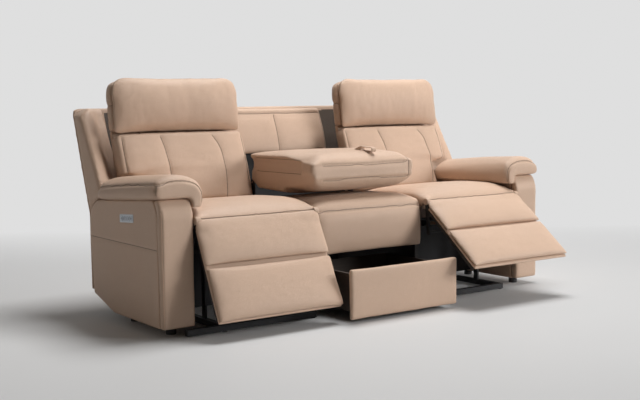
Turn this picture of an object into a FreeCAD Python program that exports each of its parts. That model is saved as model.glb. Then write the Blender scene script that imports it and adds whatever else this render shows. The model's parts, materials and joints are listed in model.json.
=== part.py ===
import FreeCAD, Part
import math
import os
import Sketcher

# Power reclining sofa with three seats.
# The two end seats recline. The middle back folds forward into a table, over a drawer.
# X runs along the sofa, seen from the front, Y runs from the front to the back, and Z is up.
# Heights are from the floor. Depths are first counted from the front faces of the arms.

SIZES = {
    # Whole sofa
    "half_width": 1100,
    "running_gap": 2,
    "soft_gap": 0.3,
    "cut_overrun": 5,
    # Arms
    "arm_width": 153,
    "arm_floor_gap": 37,
    "arm_face_thickness": 40,
    "arm_skin_thickness": 28,
    "arm_board_thickness": 18,
    "arm_rail_size": 30,
    "arm_nose_start": 478,
    "arm_nose_reach": 36,
    "arm_nose_height": 577,
    "arm_nose_bulge": 12,
    "arm_shoulder_reach": 618,
    "arm_shoulder_height": 539,
    "arm_shoulder_bulge": 33,
    "arm_waist_reach": 736,
    "arm_waist_height": 420,
    "arm_heel_reach": 710,
    "arm_heel_height": 100,
    "arm_sole_reach": 490,
    # Arm pads
    "pad_front": 5,
    "pad_rear": 604,
    "pad_overhang": 22,
    "pad_thickness": 103,
    "pad_edge_height": 78,
    "pad_side_bulge": 9,
    "pad_edge_inset": 16,
    "pad_lip_width": 60,
    "pad_lip_drop": 4,
    "pad_end_drop": 26,
    "pad_end_length": 34,
    # Control plates and their buttons
    "plate_reach": 330,
    "plate_height": 478,
    "plate_length": 137,
    "plate_width": 36,
    "plate_thickness": 2,
    "plate_rim": 5,
    "button_pitch": 24,
    "button_length": 17,
    "button_width": 20,
    "button_gap": 0.4,
    "button_proud": 1.2,
    "button_travel": 1.2,
    "button_well_depth": 7,
    # Wings and the rear panel
    "wing_inner_outset": 1,
    "wing_cheek_outset": 40,
    "wing_brow_inset": 55,
    "wing_foot_reach": 612,
    "wing_foot_height": 545,
    "wing_chin_rise": 47,
    "wing_brow_depth": 806,
    "wing_brow_height": 939,
    "wing_top_reach": 824,
    "wing_arch_bulge": 26,
    "wing_arch_height": 452,
    "wing_corner_drop": 22,
    "wing_cheek_setback": 84,
    "wing_brow_setback": 12,
    "rear_panel_thickness": 20,
    "rear_panel_low": 100,
    "rear_panel_knee": 460,
    "rear_panel_top": 955,
    "rear_panel_top_reach": 915,
    # Middle seat, its frame and the fixed panel behind it
    "middle_half_width": 318,
    "middle_seat_front": 12,
    "middle_seat_rear": 560,
    "middle_seat_base": 440,
    "middle_seat_seam": 474,
    "middle_seat_brow": 514,
    "middle_seat_brow_reach": 46,
    "middle_seat_rear_height": 500,
    "middle_crown_height": 530,
    "middle_crown_reach": 190,
    "middle_crown_bulge": 7,
    "middle_side_drop": 16,
    "middle_front_thickness": 34,
    "middle_front_low": 266,
    "middle_front_bulge": 7,
    "middle_end_draw": 9,
    "deck_thickness": 25,
    "housing_board_thickness": 20,
    "housing_front": 50,
    "housing_rear": 690,
    "glide_height": 4,
    "panel_low": 704,
    "panel_low_reach": 786,
    "panel_band_height": 912,
    "panel_band_reach": 850,
    "panel_top_reach": 880,
    "panel_top_height": 948,
    "panel_bulge": 10,
    "panel_end_draw": 8,
    # Drawer
    "drawer_out": 250,
    "drawer_half_width": 314,
    "drawer_face_closed": 8,
    "drawer_face_thickness": 30,
    "drawer_face_low": 14,
    "drawer_face_top": 244,
    "drawer_face_round": 7,
    "drawer_box_half_width": 268,
    "drawer_box_length": 450,
    "drawer_box_low": 42,
    "drawer_box_top": 212,
    "drawer_wall": 12,
    "runner_low": 100,
    "runner_height": 32,
    "runner_length": 480,
    # Base frame and feet
    "tube_size": 26,
    "front_tube_reach": -20,
    "left_tube_outset": 55,
    "track_inner_reach": 358,
    "track_outer_inset": 128,
    "track_thickness": 9,
    "track_front": 150,
    "track_rear": 600,
    "track_height": 32,
    "track_leg_width": 30,
    "rear_rail_low": 110,
    "rear_rail_height": 60,
    "rear_rail_thickness": 8,
    "rear_post_depth": 18,
    "foot_radius": 22,
    "foot_front": 95,
    "foot_rear": 440,
    "glide_radius": 12,
    # End seats
    "seat_inner": 321,
    "seat_rear": 556,
    "seat_base": 440,
    "seat_rear_height": 497,
    "seat_crown_height": 548,
    "seat_crown_reach": 180,
    "seat_front_bulge": 16,
    "seat_back_bulge": 12,
    "seat_nose_radius": 15,
    "seat_nose_draw": 6,
    "seat_side_drop": 30,
    "seat_chin_drop": 22,
    "seat_chin_reach": 16,
    "hinge_notch_width": 16,
    "hinge_notch_rear": 68,
    "seat_floor": 400,
    "seat_floor_front": 45,
    "seat_floor_rear": 540,
    "side_plate_thickness": 6,
    "side_plate_low": 330,
    "side_plate_front": 40,
    "side_plate_rear": 560,
    "side_plate_inset": 1,
    "plate_spacing": 1,
    "runner_bar_front": 180,
    "runner_bar_width": 24,
    "track_gap": 0.4,
    # Footrests, swung out by these angles from hanging
    "footrest_pivot_reach": 1,
    "footrest_pivot_height": 483,
    "left_footrest_angle": 25.8,
    "right_footrest_angle": 51.9,
    "footrest_length": 449,
    "footrest_top": 22,
    "footrest_crease": 208,
    "footrest_crease_gap": 3,
    "footrest_back": 8,
    "footrest_front": 16,
    "footrest_crown": 9,
    "footrest_board_thickness": 12,
    "footrest_board_top": 36,
    "footrest_arm_width": 18,
    "footrest_boss_radius": 12,
    "footrest_pin_radius": 5,
    "pin_gap": 0.05,
    "crank_radius": 150,
    "crank_angle": 47.5,
    "crank_pin_radius": 6,
    "crank_width": 22,
    # Footrest drives
    "drive_height": 355,
    "yoke_slot_gap": 4.4,
    "yoke_wall": 8,
    "yoke_half_thickness": 12,
    "yoke_low": 317,
    "yoke_high": 397,
    "rod_radius": 8,
    "rod_length": 370,
    "rod_gap": 0.3,
    "drive_tube_radius": 16,
    "drive_tube_front": 235,
    "drive_tube_rear": 506,
    "gearbox_rear": 540,
    "motor_offset": 46,
    "motor_radius": 24,
    "motor_length": 110,
    # Backs of the end seats, leaning about a point on the rear face of the cushion
    "back_reach": 702,
    "back_height": 716,
    "back_lean": 15,
    "back_hinge_reach": 620,
    "back_hinge_height": 450,
    "back_hinge_radius": 16,
    "back_pin_radius": 6,
    "back_cushion_low": -245,
    "back_shoulder": -94,
    "back_shoulder_slope": 22,
    "back_cushion_high": 103,
    "back_thickness_low": 118,
    "back_thickness_shoulder": 100,
    "back_thickness_high": 72,
    "back_crown": 20,
    "back_gusset_bulge": 6,
    "back_narrow_inset": 67,
    "back_wide_outset": 38,
    "back_board_thickness": 22,
    "back_board_low": -250,
    "back_board_high": 135,
    "back_rail_high": -207,
    "back_yoke_low": -40,
    "back_yoke_outset": 30,
    "back_ear_low": 106,
    # Headrests, leaning about their own hinges
    "headrest_reach": 700,
    "headrest_height": 880,
    "headrest_lean": 8,
    "headrest_split": 8,
    "headrest_front": 40,
    "headrest_crown": 20,
    "headrest_low": -46,
    "headrest_heel": -18,
    "headrest_high": 206,
    "headrest_brow": 190,
    "headrest_depth": 45,
    "headrest_shell_low": -20,
    "headrest_shell_high": 192,
    "headrest_ear_offset": 180,
    "headrest_ear_half_thickness": 6,
    "headrest_slot_gap": 2,
    "headrest_slot_high": 18,
    "headrest_boss_radius": 7.6,
    "headrest_pin_radius": 5,
    # Middle back, folded down as a table
    "table_half_width": 306,
    "table_front": 50,
    "table_rear": 596,
    "table_hinge_reach": 585,
    "table_hinge_height": 580,
    "table_band_low": 640,
    "table_band_high": 700,
    "table_band_inset": 8,
    "table_top_height": 728,
    "table_crown": 9,
    "table_end_bulge": 8,
    "table_low": 558,
    "table_lumbar_low": 536,
    "table_lumbar_reach": 300,
    "table_lumbar_rear": 568,
    "table_cushion_half_width": 290,
    "table_ear_thickness": 6,
    "table_boss_radius": 14,
    "table_pin_radius": 6,
    "bracket_front": 560,
    "strap_place": 74,
    "strap_width": 28,
    "strap_thickness": 3,
    "strap_front": 92,
    "strap_rear": 222,
    "strap_gap_rear": 176,
    "strap_front_low": 731.3,
    "strap_rear_low": 737.3,
    "strap_height": 22,
    # Power supply
    "supply_place": 430,
    "supply_length": 170,
    "supply_depth": 50,
    "supply_height": 48,
    "inlet_width": 26,
    "inlet_height": 20,
    "inlet_depth": 16,
}

LEFT = -1
RIGHT = 1
BUTTONS = 5

doc = FreeCAD.newDocument("Sofa")
sheet = doc.addObject("Spreadsheet::Sheet", "Sizes")


class Size:
    """A length or an angle, with the sheet formula that gives it."""

    def __init__(self, value, formula):
        self.value = float(value)
        self.formula = formula

    def __add__(self, other):
        other = as_size(other)
        return Size(self.value + other.value, f"({self.formula} + {other.formula})")

    def __sub__(self, other):
        other = as_size(other)
        return Size(self.value - other.value, f"({self.formula} - {other.formula})")

    def __mul__(self, other):
        other = as_size(other)
        return Size(self.value * other.value, f"({self.formula} * {other.formula})")

    def __truediv__(self, other):
        other = as_size(other)
        return Size(self.value / other.value, f"({self.formula} / {other.formula})")

    def __neg__(self):
        return Size(-self.value, f"(0 - {self.formula})")

    def __radd__(self, other):
        return as_size(other) + self

    def __rsub__(self, other):
        return as_size(other) - self

    def __rmul__(self, other):
        return as_size(other) * self

    def __float__(self):
        return self.value


def as_size(number):
    """A plain number as a size, and a size as it is."""
    if isinstance(number, Size):
        return number
    return Size(number, f"({number})")


def sine(angle):
    """The sine of an angle in degrees."""
    return Size(math.sin(math.radians(angle.value)), f"sin({angle.formula} * 1 deg)")


def cosine(angle):
    """The cosine of an angle in degrees."""
    return Size(math.cos(math.radians(angle.value)), f"cos({angle.formula} * 1 deg)")


class Named:
    """The driving sizes, each kept in a cell of the sheet under its own name."""

    def __init__(self, sizes):
        for row, (name, number) in enumerate(sizes.items(), start=1):
            cell = f"A{row}"
            sheet.set(cell, str(number))
            sheet.setAlias(cell, name)
            setattr(self, name, Size(number, f"Sizes.{name}"))


s = Named(SIZES)
doc.recompute()
zero = as_size(0)
pieces = {}


def bind(item, prop, size):
    """Ties a property of an item to the sheet."""
    item.setExpression(prop, as_size(size).formula)


def between(side, near, far):
    """Two places along X on one side of the sofa, the lower one first."""
    if side == RIGHT:
        return (as_size(near), as_size(far))
    return (-as_size(far), -as_size(near))


def middle(pair):
    """The place half way between two places."""
    return (pair[0] + pair[1]) / 2


def block(x, y, z):
    """A square block between two places along each axis."""
    item = doc.addObject("Part::Box", "block")
    for prop, pair in (("Length", x), ("Width", y), ("Height", z)):
        bind(item, prop, as_size(pair[1]) - pair[0])
    for axis, pair in zip("xyz", (x, y, z)):
        bind(item, f"Placement.Base.{axis}", pair[0])
    return item


TURN_TO = {
    "x": FreeCAD.Rotation(FreeCAD.Vector(0, 1, 0), 90),
    "y": FreeCAD.Rotation(FreeCAD.Vector(-1, 0, 0), 90),
    "z": FreeCAD.Rotation(),
}


def rod(axis, start, length, radius):
    """A round bar along one axis from its start point."""
    item = doc.addObject("Part::Cylinder", "rod")
    item.Placement = FreeCAD.Placement(FreeCAD.Vector(), TURN_TO[axis])
    bind(item, "Radius", radius)
    bind(item, "Height", length)
    for name, place in zip("xyz", start):
        bind(item, f"Placement.Base.{name}", place)
    return item


def fuse(items):
    """Several shapes joined into one."""
    item = doc.addObject("Part::MultiFuse", "joined")
    item.Shapes = items
    return item


def group(items):
    """Several separate solids kept together."""
    item = doc.addObject("Part::Compound", "group")
    item.Links = items
    return item


def cut(base, tools):
    """A shape with others taken out of it."""
    for tool in tools:
        item = doc.addObject("Part::Cut", "cut")
        item.Base = base
        item.Tool = tool
        base = item
    return base


def sketch_outline(body, plane_role, offset, outline):
    """A closed outline drawn on a plane of a body, every corner tied to the sheet.

    Each entry is a corner, with the bulge of the edge that leads to it where that edge is an arc.
    A bulge is positive to the left of the way along the outline.
    """
    sketch = body.newObject("Sketcher::SketchObject", "outline")
    plane = [part for part in body.Origin.OriginFeatures if part.Role == plane_role][0]
    sketch.AttachmentSupport = (plane, [""])
    sketch.MapMode = "FlatFace"
    bind(sketch, "AttachmentOffset.Base.z", offset)
    corners = [tuple(as_size(value) for value in entry) for entry in outline]
    count = len(corners)
    for index in range(count):
        start = corners[index - 1]
        end = corners[index]
        first = FreeCAD.Vector(start[0].value, start[1].value, 0)
        last = FreeCAD.Vector(end[0].value, end[1].value, 0)
        if len(end) == 2:
            sketch.addGeometry(Part.LineSegment(first, last))
        else:
            sketch.addGeometry(Part.Arc(first, arc_middle(first, last, end[2].value), last))
    for index in range(count):
        following = (index + 1) % count
        start = end_of(sketch, index, corners[index])
        other = end_of(sketch, following, corners[index])
        sketch.addConstraint(Sketcher.Constraint("Coincident", index, start, following, other))
        for kind, place in zip(("DistanceX", "DistanceY"), corners[index]):
            made = sketch.addConstraint(Sketcher.Constraint(kind, -1, 1, index, start, place.value))
            sketch.setExpression(f"Constraints[{made}]", place.formula)
        if len(corners[index]) > 2:
            radius = arc_radius(corners[index - 1], corners[index])
            made = sketch.addConstraint(Sketcher.Constraint("Radius", index, radius.value))
            sketch.setExpression(f"Constraints[{made}]", radius.formula)
    return sketch


def end_of(sketch, index, corner):
    """Which end of an edge lies on a corner: 1 for its start, 2 for its end."""
    place = FreeCAD.Vector(corner[0].value, corner[1].value, 0)
    start = sketch.getPoint(index, 1)
    end = sketch.getPoint(index, 2)
    return 1 if start.distanceToPoint(place) < end.distanceToPoint(place) else 2


def arc_middle(first, last, bulge):
    """The point half way along an arc that stands off its chord by the bulge."""
    along = last - first
    left = FreeCAD.Vector(-along.y, along.x, 0).normalize()
    return (first + last) / 2 + left * bulge


def arc_radius(start, end):
    """The radius of the arc that leads to a corner, from its chord and its bulge."""
    wide = end[0] - start[0]
    high = end[1] - start[1]
    bulge = end[2] if end[2].value > 0 else -end[2]
    return (wide * wide + high * high) / (8 * bulge) + bulge / 2


def pad_sketch(body, sketch, length):
    """A sketch raised along its own normal."""
    pad = body.newObject("PartDesign::Pad", "raised")
    pad.Profile = sketch
    bind(pad, "Length", length)
    return pad


def slab(x, outline):
    """A plate between two places along X, with its outline drawn from the side."""
    body = doc.addObject("PartDesign::Body", "slab")
    sketch = sketch_outline(body, "YZ_Plane", x[0], outline)
    pad_sketch(body, sketch, as_size(x[1]) - x[0])
    return body


def recess(body, x_face, depth, side, outline):
    """A pocket into the outer face of an arm, towards the middle of the sofa."""
    sketch = sketch_outline(body, "YZ_Plane", x_face, outline)
    pocket = body.newObject("PartDesign::Pocket", "recess")
    pocket.Profile = sketch
    pocket.Reversed = side == LEFT
    bind(pocket, "Length", depth)
    doc.recompute()
    before = pocket.BaseFeature.Shape.Volume
    if pocket.Shape.Volume >= before:
        raise ValueError("a recess cuts nothing")


def ring(corners):
    """A closed wire through points in space; an entry with two points is an arc over the first."""
    edges = []
    start = corners[-1][-1]
    for entry in corners:
        end = entry[-1]
        if len(entry) == 2:
            edges.append(Part.Arc(start, entry[0], end).toShape())
        else:
            edges.append(Part.LineSegment(start, end).toShape())
        start = end
    return Part.Wire(edges)


def section(x, outline):
    """A closed wire at one place along X, from the same kind of outline as a slab."""
    corners = []
    before = outline[-1]
    for entry in outline:
        first = FreeCAD.Vector(float(before[0]), float(before[1]), 0)
        last = FreeCAD.Vector(float(entry[0]), float(entry[1]), 0)
        points = [last]
        if len(entry) == 3:
            points = [arc_middle(first, last, float(entry[2])), last]
        corners.append([FreeCAD.Vector(float(x), point.x, point.y) for point in points])
        before = entry
    return ring(corners)


def loft(wires, ruled=False):
    """A closed solid through several wires."""
    item = doc.addObject("Part::Feature", "form")
    item.Shape = Part.makeLoft(wires, True, ruled)
    return item


def carve(item, tools):
    """A form with plain blocks taken out of it."""
    shape = item.Shape
    for low, high in tools:
        corner = FreeCAD.Vector(*[float(value) for value in low])
        size = [float(top) - float(bottom) for bottom, top in zip(low, high)]
        shape = shape.cut(Part.makeBox(*size, corner))
    item.Shape = shape.Solids[0]
    return item


def piece(name, item, pivot=None, angle=None):
    """Names a finished sub-part and sets it in its place.

    A piece with a pivot was made about that point, upright, and leans back by the angle.
    """
    item.Label = name
    reach = -setback
    if pivot:
        turn = FreeCAD.Rotation(FreeCAD.Vector(-1, 0, 0), angle.value)
        item.Placement = FreeCAD.Placement(FreeCAD.Vector(), turn)
        bind(item, "Placement.Rotation.Angle", angle)
        bind(item, "Placement.Base.z", pivot[1])
        reach = reach + pivot[0]
    bind(item, "Placement.Base.y", reach)
    pieces[name] = item
    return item


# The sofa's middle, front to back, lies half way between the right footrest and the rear panel.
front_end = (
    s.footrest_pivot_reach
    - s.footrest_length * sine(s.right_footrest_angle)
    - s.footrest_front * cosine(s.right_footrest_angle)
)
rear_end = s.rear_panel_top_reach + s.rear_panel_thickness
setback = (front_end + rear_end) / 2
arm_inner = s.half_width - s.arm_width
seat_outer = arm_inner - s.running_gap
pad_lip = s.arm_shoulder_height - s.pad_lip_drop
track_outer = seat_outer - s.track_outer_inset
back_narrow = seat_outer - s.back_narrow_inset
back_wide = seat_outer + s.back_wide_outset
arm_slope = (s.arm_nose_height - s.arm_shoulder_height) / (s.arm_shoulder_reach - s.arm_nose_reach)
panel_rise = s.rear_panel_top - s.rear_panel_knee
panel_slope = (s.rear_panel_top_reach - s.arm_waist_reach - s.soft_gap) / panel_rise


def arm_top(reach):
    """Height of an arm's sloping top at a depth."""
    return s.arm_nose_height - (reach - s.arm_nose_reach) * arm_slope


def panel_reach(height):
    """Depth of the rear panel's inner face at a height above its knee."""
    return s.arm_waist_reach + s.soft_gap + (height - s.rear_panel_knee) * panel_slope


def arm_outline():
    """Side of an arm behind its front panel."""
    back = s.arm_nose_reach + s.arm_face_thickness
    return [
        (s.arm_face_thickness, s.arm_floor_gap),
        (s.arm_face_thickness, s.arm_nose_start),
        (back, arm_top(back), s.arm_nose_bulge),
        (s.arm_shoulder_reach, s.arm_shoulder_height),
        (s.arm_waist_reach, s.arm_waist_height, s.arm_shoulder_bulge),
        (s.arm_heel_reach, s.arm_heel_height),
        (s.arm_sole_reach, s.arm_floor_gap),
    ]


def arm_front_panel(side, name):
    """Upholstered panel that closes the front of an arm and curls back at the top."""
    back = s.arm_nose_reach + s.arm_face_thickness
    outline = [
        (zero, s.arm_floor_gap),
        (zero, s.arm_nose_start),
        (s.arm_nose_reach, s.arm_nose_height, s.arm_nose_bulge),
        (back, arm_top(back)),
        (s.arm_face_thickness, s.arm_nose_start, -s.arm_nose_bulge),
        (s.arm_face_thickness, s.arm_floor_gap),
    ]
    piece(name + "_arm_front_panel", slab(between(side, arm_inner, s.half_width), outline))


def leaning_outline(reach, height, length, width):
    """Four corners of a strip that follows the slope of the arm's top."""
    near = reach - length / 2
    far = reach + length / 2
    tilt = arm_slope * length / 2
    return [
        (near, height + tilt - width / 2),
        (near, height + tilt + width / 2),
        (far, height - tilt + width / 2),
        (far, height - tilt - width / 2),
    ]


def arm_side_panel(side, name):
    """Outer side of an arm, with the recess for the control plate and the well behind it."""
    x = between(side, s.half_width - s.arm_skin_thickness, s.half_width)
    body = slab(x, arm_outline())
    face = s.half_width * side
    plate = leaning_outline(s.plate_reach, s.plate_height, s.plate_length, s.plate_width)
    recess(body, face, s.plate_thickness, side, plate)
    well_length = s.plate_length - 2 * s.plate_rim
    well_width = s.plate_width - 2 * s.plate_rim
    well = leaning_outline(s.plate_reach, s.plate_height, well_length, well_width)
    recess(body, face, s.button_well_depth, side, well)
    piece(name + "_arm_side_panel", body)


def arm_frame(side, name):
    """Inner board of an arm with the rails that carry the side panel and the pad."""
    board = slab(between(side, arm_inner, arm_inner + s.arm_board_thickness), arm_outline())
    x = between(side, arm_inner + s.arm_board_thickness, s.half_width - s.arm_skin_thickness)
    front = s.arm_nose_reach + s.arm_face_thickness
    rail = s.arm_rail_size
    top = slab(x, [
        (front, arm_top(front) - rail),
        (front, arm_top(front)),
        (s.arm_shoulder_reach, s.arm_shoulder_height),
        (s.arm_shoulder_reach, s.arm_shoulder_height - rail),
    ])
    rear = slab(x, [
        (s.arm_heel_reach - rail, s.arm_heel_height),
        (s.arm_waist_reach - rail, s.arm_waist_height),
        (s.arm_waist_reach, s.arm_waist_height),
        (s.arm_heel_reach, s.arm_heel_height),
    ])
    low = slab(x, [
        (s.arm_face_thickness, s.arm_floor_gap),
        (s.arm_face_thickness, s.arm_floor_gap + rail),
        (s.arm_sole_reach, s.arm_floor_gap + rail),
        (s.arm_sole_reach, s.arm_floor_gap),
    ])
    piece(name + "_arm_frame", group([board, top, rear, low]))


def arm_pad_section(side, reach, crown_drop, end_draw):
    """Section of an arm pad across the arm: a crowned top, and a lip over the inner side."""
    base = arm_top(reach) + s.soft_gap
    outer = s.half_width + s.pad_overhang - end_draw
    inner = arm_inner - s.pad_lip_width + end_draw
    lip = arm_inner - s.soft_gap
    edge = base + s.pad_edge_height - crown_drop
    crown = base + s.pad_thickness - crown_drop
    inset = s.pad_edge_inset
    bulge = s.pad_side_bulge
    inner_edge = edge - inset / 2
    corners = [
        [(outer, base + inset / 2)],
        [(outer + bulge / 2, (base + edge) / 2), (outer - inset, edge)],
        [((outer + inner) / 2, crown), (inner + inset, inner_edge)],
        [(inner - bulge / 2, (inner_edge + pad_lip) / 2), (inner + inset / 2, pad_lip)],
        [(lip, pad_lip)],
        [(lip, base)],
        [(s.half_width, base)],
    ]
    entries = []
    for entry in corners:
        entries.append([FreeCAD.Vector(side * float(x), float(reach), float(z)) for x, z in entry])
    return ring(entries)


def arm_pad(side, name):
    """Pillow top of an arm."""
    near = s.pad_front + s.pad_end_length
    far = s.pad_rear - s.pad_end_length
    stations = [
        (s.pad_front, s.pad_end_drop, s.pad_side_bulge),
        (near, zero, zero),
        ((near + far) / 2, zero, zero),
        (far, zero, zero),
        (s.pad_rear, s.pad_end_drop, s.pad_side_bulge),
    ]
    wires = [arm_pad_section(side, *station) for station in stations]
    piece(name + "_arm_pad", loft(wires, ruled=True))


def control_plates():
    """Metal plate in each arm with a hole for each button."""
    plates = []
    length = s.plate_length - s.button_gap
    width = s.plate_width - s.button_gap
    for side in (LEFT, RIGHT):
        x = between(side, s.half_width - s.plate_thickness, s.half_width)
        plate = slab(x, leaning_outline(s.plate_reach, s.plate_height, length, width))
        for place in button_places():
            hole = button_outline(place, s.button_gap)
            recess(plate, s.half_width * side, s.plate_thickness, side, hole)
        plates.append(plate)
    piece("control_plates", group(plates))


def button_places():
    """Depths of the button centres along the control plate."""
    return [s.plate_reach + s.button_pitch * (index - (BUTTONS - 1) / 2) for index in range(BUTTONS)]


def button_outline(place, gap):
    """Outline of a button, or of its hole where a gap is added all round."""
    height = s.plate_height - (place - s.plate_reach) * arm_slope
    return leaning_outline(place, height, s.button_length + 2 * gap, s.button_width + 2 * gap)


def buttons(side, name):
    """Push buttons of one control plate."""
    low = s.half_width - s.button_well_depth + s.button_travel + s.button_gap
    x = between(side, low, s.half_width + s.button_proud)
    for number, place in enumerate(button_places(), start=1):
        piece(f"{name}_button_{number}", slab(x, button_outline(place, zero)))


def wing_section(side, reach, setback_front, top_drop):
    """Section of a wing at one place along the sofa; its foot arches over the arm's shoulder."""
    top = s.rear_panel_top - top_drop
    outline = [
        (s.wing_foot_reach, s.wing_foot_height, -s.wing_arch_bulge),
        (s.wing_foot_reach + setback_front, s.wing_foot_height + s.wing_chin_rise),
        (s.wing_brow_depth + setback_front, s.wing_brow_height - top_drop),
        (s.wing_top_reach + setback_front, top),
        (panel_reach(top), top),
        (panel_reach(s.rear_panel_knee), s.rear_panel_knee),
        (panel_reach(s.rear_panel_knee), s.wing_arch_height),
    ]
    return section(side * reach, outline)


def wing(side, name):
    """Upholstered wing behind an arm, beside the reclining back."""
    wires = [
        wing_section(side, arm_inner + s.wing_inner_outset, s.wing_cheek_setback, zero),
        wing_section(side, arm_inner + s.wing_cheek_outset, s.wing_cheek_setback, zero),
        wing_section(side, s.half_width - s.wing_brow_inset, s.wing_brow_setback, zero),
        wing_section(side, s.half_width - s.running_gap, zero, s.wing_corner_drop),
    ]
    piece(name + "_wing", loft(wires, ruled=True))


EDGE_SHARE = 0.13
EDGE_SOFT_SHARE = 0.3


def stations(pair):
    """Places across a cushion, each with how far it has softened towards its side, from 0 to 1."""
    low, high = pair
    edge = (high - low) * EDGE_SHARE
    return [
        (low, 1),
        (low + edge, EDGE_SOFT_SHARE),
        ((low + high) / 2, 0),
        (high - edge, EDGE_SOFT_SHARE),
        (high, 1),
    ]


def soft_form(pair, outline_at):
    """A cushion through sections across its width; each outline depends on its softening."""
    return loft([section(x, outline_at(soft)) for x, soft in stations(pair)])


def rear_panel():
    """Upholstered panel across the whole back of the sofa."""
    width = s.half_width - s.running_gap
    inner = panel_reach(s.rear_panel_knee)
    outer = inner + s.rear_panel_thickness
    outline = [
        (inner, s.rear_panel_low),
        (inner, s.rear_panel_knee),
        (s.rear_panel_top_reach, s.rear_panel_top),
        (s.rear_panel_top_reach + s.rear_panel_thickness, s.rear_panel_top),
        (outer, s.rear_panel_knee),
        (outer, s.rear_panel_low),
    ]
    piece("rear_panel", slab((-width, width), outline))


def middle_back_panel():
    """Fixed padded panel between the end seats, with a lip that hangs behind the table."""

    def outline_at(soft):
        draw = s.panel_end_draw * soft
        top = panel_reach(s.panel_top_height) - s.soft_gap
        low = panel_reach(s.panel_low) - s.soft_gap
        return [
            (top, s.panel_top_height),
            (low, s.panel_low),
            (s.panel_low_reach + draw, s.panel_low),
            (s.panel_band_reach + draw, s.panel_band_height, s.panel_bulge),
            (s.panel_top_reach, s.panel_top_height, s.panel_bulge),
        ]

    piece("middle_back_panel", soft_form((-s.middle_half_width, s.middle_half_width), outline_at))


def middle_seat_cushion():
    """Middle seat, whose cover runs down over the front of its housing."""

    def outline_at(soft):
        draw = s.middle_end_draw * soft
        drop = s.middle_side_drop * soft
        front = s.middle_seat_front + draw
        back = s.middle_seat_front + s.middle_front_thickness
        crown = s.middle_crown_height - drop
        return [
            (s.middle_seat_rear, s.middle_seat_rear_height - drop / 2, s.middle_crown_bulge),
            (s.middle_seat_rear, s.middle_seat_base),
            (back, s.middle_seat_base),
            (back, s.middle_front_low),
            (front, s.middle_front_low),
            (front, s.middle_seat_seam, s.middle_front_bulge),
            (s.middle_seat_brow_reach, s.middle_seat_brow - drop, s.middle_front_bulge),
            (s.middle_crown_reach, crown, s.middle_crown_bulge),
        ]

    piece("middle_seat_cushion", soft_form((-s.middle_half_width, s.middle_half_width), outline_at))


def middle_housing():
    """Wooden box of the middle seat, open at the front for the drawer."""
    top = s.middle_seat_base - s.soft_gap
    deck_low = top - s.deck_thickness
    inner = s.middle_half_width - s.running_gap - s.housing_board_thickness
    width = (-s.middle_half_width, s.middle_half_width)
    boards = [block(width, (s.housing_front, s.middle_seat_rear), (deck_low, top))]
    for side in (LEFT, RIGHT):
        x = between(side, inner, inner + s.housing_board_thickness)
        boards.append(block(x, (s.housing_front, s.housing_rear), (s.glide_height, deck_low)))
    piece("middle_housing", group(boards))


def drawer():
    """Drawer under the middle seat, shown pulled out, and the runners that carry it."""
    face = s.drawer_face_closed - s.drawer_out
    back = face + s.drawer_face_thickness
    body = doc.addObject("PartDesign::Body", "drawer_face")
    outline = [
        (face, s.drawer_face_low),
        (face, s.drawer_face_top),
        (back, s.drawer_face_top),
        (back, s.drawer_face_low),
    ]
    sketch = sketch_outline(body, "YZ_Plane", -s.drawer_half_width, outline)
    pad = pad_sketch(body, sketch, 2 * s.drawer_half_width)
    doc.recompute()
    front_edges = []
    for number, edge in enumerate(pad.Shape.Edges, start=1):
        if all(abs(point.Point.y - face.value) < s.soft_gap.value for point in edge.Vertexes):
            front_edges.append(f"Edge{number}")
    fillet = body.newObject("PartDesign::Fillet", "rounded")
    fillet.Base = (pad, front_edges)
    bind(fillet, "Radius", s.drawer_face_round)
    piece("drawer_front", body)

    half = s.drawer_box_half_width
    wall = s.drawer_wall
    rear = back + s.drawer_box_length
    outer = block((-half, half), (back, rear), (s.drawer_box_low, s.drawer_box_top))
    hollow = block(
        (-half + wall, half - wall),
        (back + wall, rear - wall),
        (s.drawer_box_low + wall, s.drawer_box_top + s.cut_overrun),
    )
    piece("drawer_box", cut(outer, [hollow]))

    wide = s.middle_half_width - s.running_gap - s.housing_board_thickness
    runners = []
    for side in (LEFT, RIGHT):
        x = between(side, half + s.soft_gap, wide)
        y = (s.housing_front, s.housing_front + s.runner_length)
        runners.append(block(x, y, (s.runner_low, s.runner_low + s.runner_height)))
    piece("drawer_runners", group(runners))


def base_frame():
    """Steel frame on the floor, with the tracks that the end seats slide on."""
    low = s.glide_height
    high = low + s.tube_size
    front = s.front_tube_reach
    back = front + s.tube_size
    inner = s.track_inner_reach - s.tube_size / 2
    bars = [
        block((-seat_outer - s.left_tube_outset, -inner), (front, back), (low, high)),
        block((inner, track_outer + s.tube_size / 2), (front, back), (low, high)),
        block(
            (-arm_inner, arm_inner),
            (s.housing_rear, s.housing_rear + s.rear_rail_thickness),
            (s.rear_rail_low, s.rear_rail_low + s.rear_rail_height),
        ),
    ]
    track_top = s.seat_floor - s.arm_rail_size / 2 - s.track_gap
    for side in (LEFT, RIGHT):
        for reach in (s.track_inner_reach, track_outer):
            half = s.tube_size / 2
            x = between(side, reach - half, reach + half)
            bars.append(block(x, (back, s.housing_rear), (low, high)))
            post = (s.housing_rear - s.rear_post_depth, s.housing_rear)
            bars.append(block(x, post, (high, s.rear_rail_low + s.rear_rail_height)))
            half = s.track_thickness / 2
            x = between(side, reach - half, reach + half)
            track_low = track_top - s.track_height
            bars.append(block(x, (s.track_front, s.track_rear), (track_low, track_top)))
            for leg in (s.track_front, s.track_rear - s.track_leg_width):
                bars.append(block(x, (leg, leg + s.track_leg_width), (high, track_low)))
    piece("base_frame", group(bars))


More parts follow.
